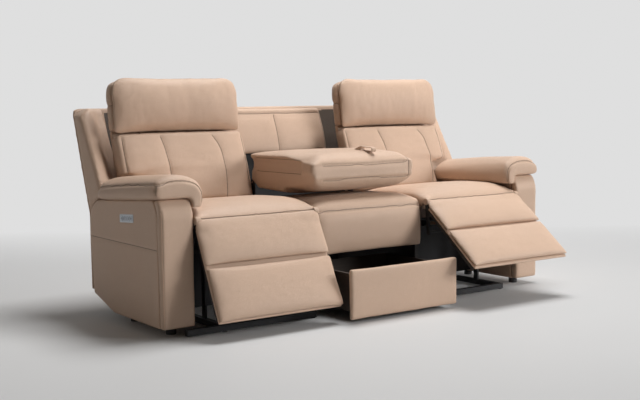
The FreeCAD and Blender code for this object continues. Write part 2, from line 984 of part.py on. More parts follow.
def feet():
    """Feet under the arms and thin glides under the frame and the housing."""
    solids = []
    arm_middle = (arm_inner + s.arm_board_thickness + s.half_width - s.arm_skin_thickness) / 2
    board = s.middle_half_width - s.running_gap - s.housing_board_thickness / 2
    glide_front = s.front_tube_reach + s.tube_size / 2
    for side in (LEFT, RIGHT):
        for reach in (s.foot_front, s.foot_rear):
            solids.append(rod("z", (side * arm_middle, reach, zero), s.arm_floor_gap, s.foot_radius))
        for place in (s.track_inner_reach, track_outer):
            for reach in (glide_front, s.housing_rear - s.arm_rail_size):
                solids.append(rod("z", (side * place, reach, zero), s.glide_height, s.glide_radius))
        for reach in (s.housing_front + s.arm_rail_size, s.housing_rear - s.arm_rail_size):
            start = (side * board, reach, zero)
            solids.append(rod("z", start, s.glide_height, s.housing_board_thickness / 2))
    piece("feet", group(solids))


NOSE_SHARE = 0.95
NOSE_BACK_SHARE = 0.3
REAR_DROP_SHARE = 0.25


def seat_cushion(side, name):
    """Cushion of an end seat, rounded at the front about the footrest's hinge."""
    pivot = (s.footrest_pivot_reach, s.footrest_pivot_height)
    radius = s.seat_nose_radius
    x = between(side, s.seat_inner + s.soft_gap, seat_outer - s.soft_gap)

    def outline_at(soft):
        draw = s.seat_nose_draw * soft
        drop = s.seat_side_drop * soft
        nose = pivot[0] - radius * NOSE_BACK_SHARE + draw / 2
        return [
            (s.seat_rear, s.seat_rear_height - drop * REAR_DROP_SHARE, s.seat_back_bulge),
            (s.seat_rear, s.seat_base),
            (s.seat_floor_front, s.seat_base),
            (pivot[0] + s.seat_chin_reach, pivot[1] - s.seat_chin_drop),
            (nose, pivot[1] - radius * NOSE_SHARE),
            (nose, pivot[1] + radius * NOSE_SHARE - draw / 2, radius * (1 - NOSE_BACK_SHARE)),
            (s.seat_crown_reach, s.seat_crown_height - drop, s.seat_front_bulge - draw),
        ]

    item = soft_form(x, outline_at)
    width = s.hinge_notch_width
    y = (-s.seat_rear, s.hinge_notch_rear)
    z = (s.seat_base - s.cut_overrun, s.seat_crown_height + s.cut_overrun)
    notches = []
    for low, high in ((x[0] - s.cut_overrun, x[0] + width), (x[1] - width, x[1] + s.cut_overrun)):
        notches.append(((low, y[0], z[0]), (high, y[1], z[1])))
    piece(name + "_seat_cushion", carve(item, notches))


def both_ends(side, inset, thickness):
    """Places along X of a pair of plates, one near each side of an end seat."""
    near = s.seat_inner + inset
    far = seat_outer - inset
    return [between(side, near, near + thickness), between(side, far - thickness, far)]


HOOK_SHARE = 0.6
HEEL_SHARE = 0.8
TIP_SHARE = 0.9


def hinge_hole(x, place, pin_radius):
    """The hole that a hinge pin turns in, through a plate between two places along X."""
    start = (x[0] - s.running_gap, place[0], place[1])
    return rod("x", start, x[1] - x[0] + 2 * s.running_gap, pin_radius + s.pin_gap)


def seat_frame(side, name):
    """Steel and board frame of an end seat, which slides on the tracks."""
    top = s.seat_base - s.soft_gap
    plate = s.side_plate_thickness
    link = s.side_plate_inset + plate + s.plate_spacing
    deck_inset = link + plate + s.running_gap
    deck = between(side, s.seat_inner + deck_inset, seat_outer - deck_inset)
    level = (s.seat_floor, top)
    parts = [block(deck, (s.seat_floor_front, s.seat_floor_rear), level)]
    cleat = (s.runner_bar_front, s.seat_floor_rear)
    cleat_width = deck_inset - s.side_plate_inset - plate
    for x in both_ends(side, s.side_plate_inset + plate, cleat_width):
        parts.append(block(x, cleat, level))
    pivot = (s.footrest_pivot_reach, s.footrest_pivot_height)
    hinge = (s.back_hinge_reach, s.back_hinge_height)
    radius = s.footrest_boss_radius
    outline = [
        (pivot[0], pivot[1] - radius + s.plate_spacing),
        (s.side_plate_front - s.seat_nose_radius, pivot[1] - s.seat_chin_drop - s.side_plate_thickness),
        (s.side_plate_front, s.seat_base - s.drawer_wall),
        (s.side_plate_front, s.side_plate_low),
        (s.side_plate_rear, s.side_plate_low),
        (hinge[0] + s.back_hinge_radius / 2, hinge[1] - s.back_hinge_radius * HEEL_SHARE),
        (hinge[0], hinge[1] + s.back_hinge_radius - s.plate_spacing),
        (s.side_plate_rear, top),
        (s.side_plate_front + s.runner_bar_width / 2, top),
        (pivot[0], pivot[1] + radius - s.plate_spacing),
    ]
    hinges = [
        (pivot, radius, s.footrest_pin_radius),
        (hinge, s.back_hinge_radius, s.back_pin_radius),
    ]
    for x in both_ends(side, s.side_plate_inset, plate):
        plate_parts = [slab(x, outline)]
        holes = []
        for place, boss, pin in hinges:
            plate_parts.append(rod("x", (x[0], place[0], place[1]), plate, boss))
            holes.append(hinge_hole(x, place, pin))
        parts.append(cut(fuse(plate_parts), holes))
    runner_low = s.seat_floor - s.arm_rail_size / 2
    for reach in (s.track_inner_reach, track_outer):
        half = s.runner_bar_width / 2
        x = between(side, reach - half, reach + half)
        parts.append(block(x, (s.runner_bar_front, s.seat_floor_rear), (runner_low, s.seat_floor)))
    piece(name + "_seat_frame", group(parts))


def hinge_pin(x, place, radius):
    """A pin between two places along X."""
    return rod("x", (x[0], place[0], place[1]), x[1] - x[0], radius)


CROSS_BAR_SHARE = 0.75


def footrest(side, name, angle):
    """Footrest of an end seat: two pads on a board, on arms that swing about the seat's nose."""
    pivot = (s.footrest_pivot_reach, s.footrest_pivot_height)
    x = between(side, s.seat_inner + s.soft_gap, seat_outer - s.soft_gap)
    back = s.footrest_back
    front = -s.footrest_front
    half_crease = s.footrest_crease_gap / 2

    def pad_outline(high, low):
        def outline_at(soft):
            draw = s.footrest_crown * soft / 2
            return [
                (back, high, s.footrest_crease_gap),
                (back, low),
                (front + draw, low, s.footrest_crease_gap),
                (front + draw, high, s.footrest_crown * (1 - soft) + s.plate_spacing),
            ]
        return outline_at

    round_off = s.footrest_crease_gap
    upper = pad_outline(-s.footrest_top - round_off, -s.footrest_crease + half_crease + round_off)
    lower = pad_outline(-s.footrest_crease - half_crease - round_off, -s.footrest_length + round_off)
    piece(name + "_footrest_upper_pad", soft_form(x, upper), pivot, angle)
    piece(name + "_footrest_lower_pad", soft_form(x, lower), pivot, angle)

    board_front = back + s.soft_gap
    board_back = back + s.footrest_board_thickness
    board = slab(x, [
        (board_front, -s.footrest_length),
        (board_front, -s.footrest_board_top),
        (board_back, -s.footrest_board_top),
        (board_back, -s.footrest_length),
    ])
    piece(name + "_footrest_board", board, pivot, angle)

    plate = s.side_plate_thickness
    inset = s.side_plate_inset + plate + s.plate_spacing
    arm_front = board_back + s.soft_gap
    arm_back = arm_front + s.footrest_arm_width
    radius = s.footrest_boss_radius
    arm_end = s.footrest_length - s.footrest_arm_width
    arm = [
        (radius * HOOK_SHARE, -radius * HEEL_SHARE),
        (arm_front, -s.footrest_board_top + s.footrest_crease_gap),
        (arm_front, -arm_end),
        (arm_back, -arm_end),
        (arm_back, -s.footrest_board_top - s.footrest_arm_width),
        (radius * TIP_SHARE, radius / 2),
    ]
    pin = (s.crank_radius * sine(s.crank_angle), -s.crank_radius * cosine(s.crank_angle))
    half = s.crank_width / 2
    across = (half * cosine(s.crank_angle), half * sine(s.crank_angle))
    beyond = (half * sine(s.crank_angle), -half * cosine(s.crank_angle))
    crank = [
        across,
        (pin[0] + across[0] + beyond[0], pin[1] + across[1] + beyond[1]),
        (pin[0] - across[0] + beyond[0], pin[1] - across[1] + beyond[1]),
        (-across[0], -across[1]),
    ]
    centre = (zero, zero)
    parts = []
    for place in both_ends(side, inset, plate):
        arm_parts = [slab(place, arm), slab(place, crank), hinge_pin(place, centre, radius)]
        parts.append(fuse(arm_parts))
    for place in both_ends(side, s.side_plate_inset, plate + s.plate_spacing):
        parts.append(hinge_pin(place, centre, s.footrest_pin_radius))
    x = between(side, s.seat_inner + inset + plate, seat_outer - inset - plate)
    parts.append(hinge_pin(x, pin, s.crank_pin_radius))
    bar_low = -arm_end * CROSS_BAR_SHARE
    bar_y = (arm_front, arm_front + s.footrest_board_thickness)
    parts.append(block(x, bar_y, (bar_low, bar_low + s.arm_rail_size)))
    piece(name + "_footrest_arms", group(parts), pivot, angle)


YOKE_SHARE = 0.918


def footrest_drive(side, name, angle):
    """Motor under an end seat, and the rod whose slotted yoke pushes the footrest's cross pin."""
    centre = side * (s.seat_inner + seat_outer) / 2
    radians = (s.crank_angle - angle) * math.pi / 180
    yoke = s.footrest_pivot_reach + YOKE_SHARE * s.crank_radius * radians
    slot = s.crank_pin_radius + s.yoke_slot_gap
    half = slot + s.yoke_wall
    x = (centre - s.yoke_half_thickness, centre + s.yoke_half_thickness)
    plate = block(x, (yoke - half, yoke + half), (s.yoke_low, s.yoke_high))
    wide = (x[0] - s.cut_overrun, x[1] + s.cut_overrun)
    opening = (s.yoke_low + s.yoke_wall, s.yoke_high - s.yoke_wall + s.plate_spacing)
    window = block(wide, (yoke - slot, yoke + slot), opening)
    bar = rod("y", (centre, yoke + half, s.drive_height), s.rod_length, s.rod_radius)
    piece(name + "_drive_rod", fuse([cut(plate, [window]), bar]))

    length = s.drive_tube_rear - s.drive_tube_front
    tube = rod("y", (centre, s.drive_tube_front, s.drive_height), length, s.drive_tube_radius)
    bore_start = (centre, s.drive_tube_front - s.cut_overrun, s.drive_height)
    bore = rod("y", bore_start, length + s.cut_overrun, s.rod_radius + s.rod_gap)
    motor_x = centre + s.motor_offset
    can_start = (motor_x, s.drive_tube_rear - s.motor_length, s.drive_height)
    parts = [
        cut(tube, [bore]),
        rod("y", can_start, s.motor_length, s.motor_radius),
        block(
            (centre - s.motor_radius, motor_x + s.motor_radius),
            (s.drive_tube_rear, s.gearbox_rear),
            (s.drive_height - s.motor_radius, s.drive_height + s.motor_radius),
        ),
        block(
            x,
            (s.drive_tube_rear - s.rear_post_depth, s.drive_tube_rear),
            (s.drive_height + s.rod_radius + s.running_gap, s.seat_floor),
        ),
    ]
    piece(name + "_drive_motor", fuse(parts))


def back_local(reach, height):
    """A place in the frame of a leaning back, as seen from the side."""
    dy = reach - s.back_reach
    dz = height - s.back_height
    along = sine(s.back_lean)
    up = cosine(s.back_lean)
    return (dy * up - dz * along, dy * along + dz * up)


def back_section(side, height, outer, thickness):
    """Section of a back cushion at one height: flat behind, crowned in front."""
    inner = s.seat_inner + s.soft_gap
    centre = (inner + outer) / 2
    front = -thickness
    bulge = s.back_gusset_bulge
    corners = [
        [(inner + bulge / 2, zero)],
        [(outer - bulge / 2, zero)],
        [(outer + bulge / 2, front / 2), (outer - bulge, front)],
        [(centre, front - s.back_crown), (inner + bulge, front)],
        [(inner, front / 2), (inner + bulge / 2, zero)],
    ]
    entries = []
    for entry in corners[1:]:
        entries.append([FreeCAD.Vector(side * float(x), float(y), float(height)) for x, y in entry])
    return ring(entries)


def reclining_back(side, name):
    """Back of an end seat: a cushion wide above the arm pad and narrow beside it, on its frame."""
    turn = (s.back_reach, s.back_height)
    narrow = back_narrow
    wide = back_wide
    rise = s.back_shoulder + s.back_shoulder_slope
    wires = [
        back_section(side, s.back_cushion_low, narrow, s.back_thickness_low),
        back_section(side, s.back_shoulder, narrow, s.back_thickness_shoulder),
        back_section(side, rise, wide, s.back_thickness_shoulder),
        back_section(side, s.back_cushion_high, wide, s.back_thickness_high),
    ]
    piece(name + "_back_cushion", loft(wires, ruled=True), turn, s.back_lean)

    plate = s.side_plate_thickness
    inset = s.side_plate_inset + plate + s.plate_spacing
    hinge = back_local(s.back_hinge_reach, s.back_hinge_height)
    front = s.soft_gap
    back = s.back_board_thickness
    depth = (front, back)
    near = s.seat_inner + inset + plate
    far = back_narrow
    rail = between(side, far, seat_outer - inset - plate)
    yoke = between(side, far, seat_outer + s.back_yoke_outset)
    parts = [
        block(between(side, near, far), depth, (s.back_board_low, s.back_board_high)),
        block(rail, depth, (s.back_board_low, s.back_rail_high)),
        block(yoke, depth, (s.back_yoke_low, s.back_board_high)),
    ]
    reach = s.back_hinge_radius * HOOK_SHARE
    outline = [
        (hinge[0] - reach, hinge[1]),
        (front, s.back_board_low - s.running_gap),
        (front, s.back_rail_high),
        (back, s.back_rail_high),
        (back, s.back_board_low),
        (hinge[0] + reach, hinge[1] - reach),
    ]
    for x in both_ends(side, inset, plate):
        parts.append(fuse([slab(x, outline), hinge_pin(x, hinge, s.back_hinge_radius)]))
    for x in both_ends(side, s.side_plate_inset, plate + s.plate_spacing):
        parts.append(hinge_pin(x, hinge, s.back_pin_radius))
    ear = back_local(s.headrest_reach, s.headrest_height)
    centre = side * (s.seat_inner + back_wide) / 2
    boss = s.headrest_boss_radius
    ear_outline = [
        (front, s.back_ear_low),
        (ear[0] - boss / 2, ear[1] - boss),
        (ear[0] - boss / 2, ear[1] + boss / 2),
        (front, s.back_board_high),
    ]
    for offset in (-s.headrest_ear_offset, s.headrest_ear_offset):
        half = s.headrest_ear_half_thickness
        x = (centre + offset - half, centre + offset + half)
        whole_ear = fuse([slab(x, ear_outline), hinge_pin(x, ear, boss)])
        parts.append(cut(whole_ear, [hinge_hole(x, ear, s.headrest_pin_radius)]))
    piece(name + "_back_frame", group(parts), turn, s.back_lean)


def headrest(side, name):
    """Headrest of an end seat: a crowned cushion on a shell that tips on two pins."""
    turn = (s.headrest_reach, s.headrest_height)
    x = between(side, s.seat_inner + s.soft_gap, back_wide)
    split = -s.headrest_split - s.soft_gap

    def outline_at(soft):
        draw = s.headrest_crown * soft / 2
        crown = s.headrest_crown * (1 - soft) + s.running_gap
        return [
            (split, s.headrest_high - draw / 2, s.drawer_face_round),
            (split, s.headrest_low + draw / 2),
            (-s.headrest_front + draw, s.headrest_heel, s.footrest_crown / 2),
            (-s.headrest_front + draw, s.headrest_brow - draw / 2, crown),
        ]

    piece(name + "_headrest_cushion", soft_form(x, outline_at), turn, s.headrest_lean)

    shell_x = (x[0] + s.headrest_slot_gap, x[1] - s.headrest_slot_gap)
    depth = (-s.headrest_split, s.headrest_depth)
    shell = block(shell_x, depth, (s.headrest_shell_low, s.headrest_shell_high))
    centre = side * (s.seat_inner + back_wide) / 2
    slots = []
    pins = []
    for offset in (-s.headrest_ear_offset, s.headrest_ear_offset):
        half = s.headrest_ear_half_thickness + s.headrest_slot_gap
        slot_x = (centre + offset - half, centre + offset + half)
        slot_y = (depth[0] - s.cut_overrun, depth[1] + s.cut_overrun)
        slots.append(block(slot_x, slot_y, (s.headrest_shell_low - s.cut_overrun, s.headrest_slot_high)))
        start = (slot_x[0] - s.running_gap, zero, zero)
        pins.append(rod("x", start, 2 * half + 2 * s.running_gap, s.headrest_pin_radius))
    piece(name + "_headrest_shell", fuse([cut(shell, slots)] + pins), turn, s.headrest_lean)


def table():
    """Middle back, folded forward: a padded top, a frame, and the cushion that faces down."""
    half = s.table_half_width

    def top_at(soft):
        draw = s.table_crown * soft / 2
        return [
            (s.table_rear, s.table_top_height - draw, s.table_crown * (1 - soft) + s.plate_spacing),
            (s.table_rear - draw, s.table_band_high + s.soft_gap, s.plate_spacing),
            (s.table_front + draw + s.plate_spacing, s.table_band_high + s.soft_gap),
            (s.table_front + draw + s.table_end_bulge, s.table_top_height - draw, s.table_end_bulge / 2),
        ]

    piece("table_top_pad", soft_form((-half, half), top_at))

    wide = half - s.table_band_inset
    ear = s.table_ear_thickness
    front = s.table_front + s.table_band_inset
    hinge = (s.table_hinge_reach, s.table_hinge_height)
    radius = s.table_boss_radius
    parts = [block((-wide, wide), (front, s.table_rear), (s.table_band_low, s.table_band_high))]
    for side in (LEFT, RIGHT):
        x = between(side, wide - ear, wide)
        y = (hinge[0] - radius, hinge[0] + s.table_rear - s.table_hinge_reach)
        upright = block(x, y, (hinge[1], s.table_band_low))
        parts.append(fuse([upright, hinge_pin(x, hinge, radius)]))
        pin = between(side, wide, wide + s.plate_spacing + ear)
        parts.append(hinge_pin(pin, hinge, s.table_pin_radius))
    piece("table_frame", group(parts))

    def cushion_at(soft):
        draw = s.table_crown * soft
        return [
            (s.table_lumbar_rear, s.table_band_low - s.soft_gap),
            (s.table_lumbar_rear - draw, s.table_lumbar_low + s.table_end_bulge + draw, s.table_end_bulge),
            (s.table_lumbar_reach + s.table_end_bulge + draw, s.table_lumbar_low + draw, s.plate_spacing),
            (s.table_lumbar_reach - s.table_end_bulge, s.table_low + draw, -s.running_gap),
            (front + draw, s.table_low + s.table_end_bulge + draw, s.table_end_bulge),
            (s.table_front + s.table_end_bulge, s.table_band_low - s.soft_gap, s.table_end_bulge),
        ]

    narrow = s.table_cushion_half_width
    piece("table_cushion", soft_form((-narrow, narrow), cushion_at))

    brackets = []
    deck = s.middle_seat_base - s.soft_gap - s.deck_thickness
    for side in (LEFT, RIGHT):
        x = between(side, wide + s.plate_spacing, wide + s.plate_spacing + ear)
        y = (s.bracket_front + s.running_gap, hinge[0] + radius)
        upright = block(x, y, (deck, hinge[1]))
        bracket = fuse([upright, hinge_pin(x, hinge, radius)])
        brackets.append(cut(bracket, [hinge_hole(x, hinge, s.table_pin_radius)]))
    piece("table_brackets", group(brackets))


LOOP_BULGE_SHARE = 0.333


def pull_strap():
    """Leather loop on the table's top that the middle back is pulled down by."""
    x = (s.strap_place - s.strap_width / 2, s.strap_place + s.strap_width / 2)
    slope = (s.strap_rear_low - s.strap_front_low) / (s.strap_rear - s.strap_front)
    wall = s.strap_thickness

    def at(reach, raised):
        return (reach, s.strap_front_low + slope * (reach - s.strap_front) + raised)

    high = s.strap_height
    bulge = high * LOOP_BULGE_SHARE
    loop = slab(x, [
        at(s.strap_front, zero),
        at(s.strap_front, high) + (bulge,),
        at(s.strap_gap_rear, high),
        at(s.strap_rear, 2 * wall),
        at(s.strap_rear, zero),
    ])
    gap = slab((x[0] - s.cut_overrun, x[1] + s.cut_overrun), [
        at(s.strap_front + wall / 2, wall),
        at(s.strap_front + wall / 2, high - wall) + (bulge / 2,),
        at(s.strap_gap_rear - wall, high - wall),
        at(s.strap_gap_rear, wall),
    ])
    piece("pull_strap", cut(loop, [gap]))


def power_supply():
    """Power supply on the rear rail, with the inlet that its lead plugs into."""
    x = (s.supply_place, s.supply_place + s.supply_length)
    y = (s.housing_rear - s.supply_depth, s.housing_rear)
    z = (s.rear_rail_low + s.running_gap, s.rear_rail_low + s.running_gap + s.supply_height)
    box = block(x, y, z)
    across = (middle(y) - s.inlet_width / 2, middle(y) + s.inlet_width / 2)
    up = (middle(z) - s.inlet_height / 2, middle(z) + s.inlet_height / 2)
    inlet = block((x[1] - s.inlet_depth, x[1] + s.cut_overrun), across, up)
    piece("power_supply", cut(box, [inlet]))


def arm(side, name):
    """One arm of the sofa, with its pad, its buttons and the wing behind it."""
    arm_front_panel(side, name)
    arm_side_panel(side, name)
    arm_frame(side, name)
    arm_pad(side, name)
    buttons(side, name)
    wing(side, name)


def end_seat(side, name, angle):
    """One reclining seat."""
    seat_frame(side, name)
    seat_cushion(side, name)
    footrest(side, name, angle)
    footrest_drive(side, name, angle)
    reclining_back(side, name)
    headrest(side, name)


arm(LEFT, "left")
arm(RIGHT, "right")
control_plates()
end_seat(LEFT, "left", s.left_footrest_angle)
end_seat(RIGHT, "right", s.right_footrest_angle)
rear_panel()
middle_back_panel()
middle_seat_cushion()
middle_housing()
drawer()
table()
pull_strap()
base_frame()
feet()
power_supply()
doc.recompute()

for item in doc.Objects:
    if "Invalid" in item.State or "Error" in item.State:
        raise ValueError(f"{item.Label} failed: {item.State}")
for name, item in pieces.items():
    if item.Shape.isNull() or not item.Shape.isValid():
        raise ValueError(f"{name} has no valid shape")

os.makedirs("parts", exist_ok=True)
for name, item in pieces.items():
    item.Shape.exportStep(f"parts/{name}.step")
whole = Part.makeCompound([item.Shape for item in pieces.values()])
box = whole.BoundBox
print(f"{len(pieces)} sub-parts")
print(f"X {box.XMin:.2f} to {box.XMax:.2f}, Y {box.YMin:.2f} to {box.YMax:.2f}")
print(f"Z {box.ZMin:.2f} to {box.ZMax:.2f}")
print(f"the front faces of the arms lie {setback.value:.2f} in front of the origin")
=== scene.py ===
# %% [markdown]
# # A power reclining sofa, dressed in leather
# The measured model gives every place and size. This script loads it, covers its plain soft
# solids with puffed and sewn leather, gives each part its finish, and lights the room.

import json
import math

import bmesh
import bpy
import numpy as np
from mathutils import Matrix, Vector, noise
from mathutils.bvhtree import BVHTree
from mathutils.kdtree import KDTree


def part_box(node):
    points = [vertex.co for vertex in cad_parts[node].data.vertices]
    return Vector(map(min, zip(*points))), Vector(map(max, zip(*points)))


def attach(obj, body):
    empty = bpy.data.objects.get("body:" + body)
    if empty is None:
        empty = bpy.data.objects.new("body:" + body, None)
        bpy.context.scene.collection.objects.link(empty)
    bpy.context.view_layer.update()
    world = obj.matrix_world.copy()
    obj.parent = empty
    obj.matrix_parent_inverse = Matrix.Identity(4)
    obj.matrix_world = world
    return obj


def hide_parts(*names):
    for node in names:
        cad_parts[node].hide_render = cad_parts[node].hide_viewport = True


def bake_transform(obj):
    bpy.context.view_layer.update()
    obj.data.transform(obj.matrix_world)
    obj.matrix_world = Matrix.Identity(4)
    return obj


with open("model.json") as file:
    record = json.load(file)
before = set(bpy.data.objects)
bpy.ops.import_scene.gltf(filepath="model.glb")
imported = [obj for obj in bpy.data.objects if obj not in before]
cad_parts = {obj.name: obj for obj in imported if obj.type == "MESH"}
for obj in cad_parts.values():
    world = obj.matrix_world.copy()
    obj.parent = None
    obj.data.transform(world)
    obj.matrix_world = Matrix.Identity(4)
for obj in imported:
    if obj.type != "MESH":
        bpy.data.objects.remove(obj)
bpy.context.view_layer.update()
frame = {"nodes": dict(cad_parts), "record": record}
nodes = frame["nodes"]

# %% [markdown]
# ## Places
# The sofa was measured from the front faces of its arms. The model's origin lies further
# back, so one function turns a depth behind the arm fronts into a depth in the model.

# %% A place on the sofa
ARM_FRONT = -0.2864


def at(x, depth, height):
    """A point given by its depth behind the arm fronts."""
    return Vector((x, depth + ARM_FRONT, height))


print("arm fronts lie at", ARM_FRONT)

# %% [markdown]
# ## The camera
# The photograph was taken from the left, a little above the seats, with a moderately long
# lens. Its place and turn were solved from the sofa's own edges, so they are numbers here.

# %% Camera
CAMERA_PLACE = at(-2.9986, -3.8227, 0.9567)
CAMERA_YAW, CAMERA_PITCH, CAMERA_ROLL = 0.6139, -0.0909, -0.0128
LENS_MM, SENSOR_MM = 58.58, 36.0


def camera_turn(yaw, pitch, roll):
    """The camera's axes: it looks along its own -Z."""
    forward = Vector(
        (math.sin(yaw) * math.cos(pitch), math.cos(yaw) * math.cos(pitch), math.sin(pitch))
    )
    level = Vector((math.cos(yaw), -math.sin(yaw), 0))
    upward = level.cross(forward)
    right = level * math.cos(roll) + upward * math.sin(roll)
    up = upward * math.cos(roll) - level * math.sin(roll)
    return Matrix((right, up, -forward)).transposed()


camera = bpy.data.objects.new("camera", bpy.data.cameras.new("camera"))
bpy.context.collection.objects.link(camera)
camera.data.lens = LENS_MM
camera.data.sensor_width = SENSOR_MM
camera.data.sensor_fit = "HORIZONTAL"
camera.data.clip_end = 60
turn = camera_turn(CAMERA_YAW, CAMERA_PITCH, CAMERA_ROLL)
camera.matrix_world = Matrix.Translation(CAMERA_PLACE) @ turn.to_4x4()
bpy.context.scene.camera = camera
bpy.context.scene.view_settings.view_transform = "Standard"
print("camera at", [round(v, 2) for v in CAMERA_PLACE])

# %% [markdown]
# ## Shader maths as plain sums
# Materials here are small formulas: a colour that drifts, a grain, a roughness that follows
# both. A small class wraps a node's socket, so that a formula is written as a formula.

# %% A socket that can be added and multiplied


class Value:
    """A number that varies over a surface, as the socket of a shader node."""

    def __init__(self, finish, socket):
        self.finish = finish
        self.socket = socket

    def math(self, operation, other, flipped=False):
        pair = (other, self) if flipped else (self, other)
        return self.finish.node("ShaderNodeMath", {"operation": operation}, dict(enumerate(pair)))

    def __add__(self, other):
        return self.math("ADD", other)

    def __sub__(self, other):
        return self.math("SUBTRACT", other)

    def __mul__(self, other):
        return self.math("MULTIPLY", other)

    def __radd__(self, other):
        return self.math("ADD", other, True)

    def __rsub__(self, other):
        return self.math("SUBTRACT", other, True)

    def __rmul__(self, other):
        return self.math("MULTIPLY", other, True)

    def limited(self):
        """Kept between 0 and 1."""
        return self.finish.node("ShaderNodeClamp", {}, {"Value": self})


print("shader sums are ready")

# %% [markdown]
# A finish is one material. Its `node` method makes any node from its type, its settings and
# the values of its sockets, and gives back the first output, or the one that is asked for.

# %% A finish is a material with a short way to add nodes


class Finish:
    """One material, built from a principled shader."""

    def __init__(self, name):
        self.material = bpy.data.materials.new(name)
        self.material.use_nodes = True
        self.tree = self.material.node_tree
        self.shader = self.tree.nodes["Principled BSDF"]
        self.output = self.tree.nodes["Material Output"]

    def node(self, kind, settings, sockets, output=0):
        made = self.tree.nodes.new(kind)
        for key, value in settings.items():
            if key == "stops":
                self.set_stops(made.color_ramp, value)
            else:
                setattr(made, key, value)
        for key, value in sockets.items():
            self.feed(made.inputs[key], value)
        return Value(self, made.outputs[output])

    def set_stops(self, ramp, stops):
        while len(ramp.elements) < len(stops):
            ramp.elements.new(0.5)
        for element, (place, color) in zip(ramp.elements, stops):
            element.position = place
            element.color = (*color, 1) if len(color) == 3 else color

    def feed(self, socket, value):
        if isinstance(value, Value):
            self.tree.links.new(value.socket, socket)
        elif socket.type == "RGBA" and len(value) == 3:
            socket.default_value = (*value, 1)
        else:
            socket.default_value = value

    def set(self, **sockets):
        """Sets sockets of the shader; underscores in a name stand for spaces."""
        for key, value in sockets.items():
            self.feed(self.shader.inputs[key.replace("_", " ")], value)

    def place(self):
        """Position on the object, which rides with its body."""
        return self.node("ShaderNodeTexCoord", {}, {}, "Object")

    def stretched(self, scale):
        """Position stretched by a different amount along each axis."""
        settings = {"vector_type": "POINT"}
        return self.node("ShaderNodeMapping", settings, {"Vector": self.place(), "Scale": scale})

    def noise(self, scale, detail=3.0, where=None, roughness=0.5):
        sockets = {"Scale": scale, "Detail": detail, "Roughness": roughness}
        sockets["Vector"] = where or self.place()
        return self.node("ShaderNodeTexNoise", {}, sockets)

    def cells(self, scale, feature="F1"):
        sockets = {"Scale": scale, "Vector": self.place()}
        return self.node("ShaderNodeTexVoronoi", {"feature": feature}, sockets)

    def ramp(self, value, *stops):
        """A number turned into another number by stops of (place, grey)."""
        shades = [(place, (grey, grey, grey)) for place, grey in stops]
        return self.node("ShaderNodeValToRGB", {"stops": shades}, {"Fac": value})

    def mix(self, factor, first, second):
        """A blend of two colours."""
        sockets = {0: factor, 6: first, 7: second}
        return self.node("ShaderNodeMix", {"data_type": "RGBA"}, sockets, 2)

    def bump(self, height, depth, under=None):
        """A surface raised by a height, as a normal."""
        sockets = {"Height": height, "Distance": depth, "Strength": 1.0}
        if under:
            sockets["Normal"] = under
        return self.node("ShaderNodeBump", {}, sockets)


def linear(red, green, blue):
    """A colour as a picture shows it, 0 to 255, as the light it stands for."""
    parts = [channel / 255 for channel in (red, green, blue)]
    return tuple(c / 12.92 if c <= 0.04045 else ((c + 0.055) / 1.055) ** 2.4 for c in parts)


print("finishes are ready")

# %% [markdown]
# ## Leather
# The cover is a smooth corrected-grain leather in a warm tan. Close up it is a net of small
# cells with pores between them. Further off its colour drifts slowly and it is paler where it
# is rubbed along raised edges. Shade is painted into its folds and seams, which are darker.

# %% Leather


def leather(name, color, shade=1.0, gloss=0.46):
    f = Finish(name)
    base = linear(*[channel * shade for channel in color])
    dark = tuple(channel * 0.76 for channel in base)
    rubbed = tuple(min(channel * 1.14, 1) for channel in base)
    drift = f.noise(2.6, 4.0)
    mottle = f.noise(38.0, 3.0)
    tone = f.mix((drift * 0.7 + mottle * 0.3).limited(), dark, rubbed)
    middle = f.mix(0.5, tone, base)
    edge = f.node("ShaderNodeNewGeometry", {}, {}, "Pointiness")
    # Painted shade: hollow places, such as folds and seams, are darkened. Raised edges are paler,
    # as rubbed.
    folded = f.ramp(edge, (0.44, 1.0), (0.50, 0.0))
    raised = f.ramp(edge, (0.50, 0.0), (0.58, 1.0))
    fold_shade_and_grain_color = tuple(channel * 0.62 for channel in base)
    shade_and_wear = f.mix(folded * 0.55, middle, fold_shade_and_grain_color)
    shade_and_wear = f.mix(raised * 0.35, shade_and_wear, rubbed)
    grain = f.cells(520.0, "DISTANCE_TO_EDGE")
    creases = f.ramp(grain, (0.0, 0.0), (0.10, 1.0))
    pores = f.cells(1150.0)
    colored = f.mix((1 - creases) * 0.16, shade_and_wear, fold_shade_and_grain_color)
    f.set(Base_Color=colored)
    f.set(Roughness=(gloss + (drift - 0.5) * 0.16 + (1 - creases) * 0.10).limited())
    soft_creases = f.bump(f.noise(62.0, 4.0, roughness=0.6), 0.0009)
    grained = f.bump(creases * 0.7 + pores * 0.3, 0.00035, soft_creases)
    f.set(Normal=grained)
    f.set(Specular_IOR_Level=0.42, Sheen_Weight=0.06, Sheen_Roughness=0.4)
    return f.material


TAN = (203, 173, 150)
cover_leather = leather("tan_leather", TAN)
# A lighter copy that paints the highlight on the welt at each arm's front edge.
highlight_leather = leather("tan_leather_painted_highlight", TAN, 1.06, 0.42)
# The welts are darker: the folded leather edge, with part of the seam's shade painted in.
piping_and_shade_leather = leather("tan_leather_piping_and_shade", TAN, 0.62, 0.6)
# A dark copy that paints the shade between the backs.
painted_shade_leather = leather("tan_leather_painted_shade", TAN, 0.42, 0.6)
print("leathers:", cover_leather.name, piping_and_shade_leather.name)

# %% [markdown]
# ## Finishes of the hidden works
# Under the leather are black-painted steel, stained boards and moulded plastic. All of them
# are dark here, but each has its own grain, so that light catches them differently.

# %% Metal, board and plastic


def painted_steel(name, color, gloss):
    f = Finish(name)
    peel = f.noise(420.0, 2.0)
    dust = f.noise(9.0, 5.0)
    dusty = tuple(channel * 0.7 + 0.035 for channel in color)
    f.set(Base_Color=f.mix(f.ramp(dust, (0.45, 0.0), (0.75, 1.0)) * 0.5, color, dusty))
    f.set(Roughness=(gloss + dust * 0.2).limited(), Metallic=0.35)
    f.set(Normal=f.bump(peel, 0.0002))
    return f.material


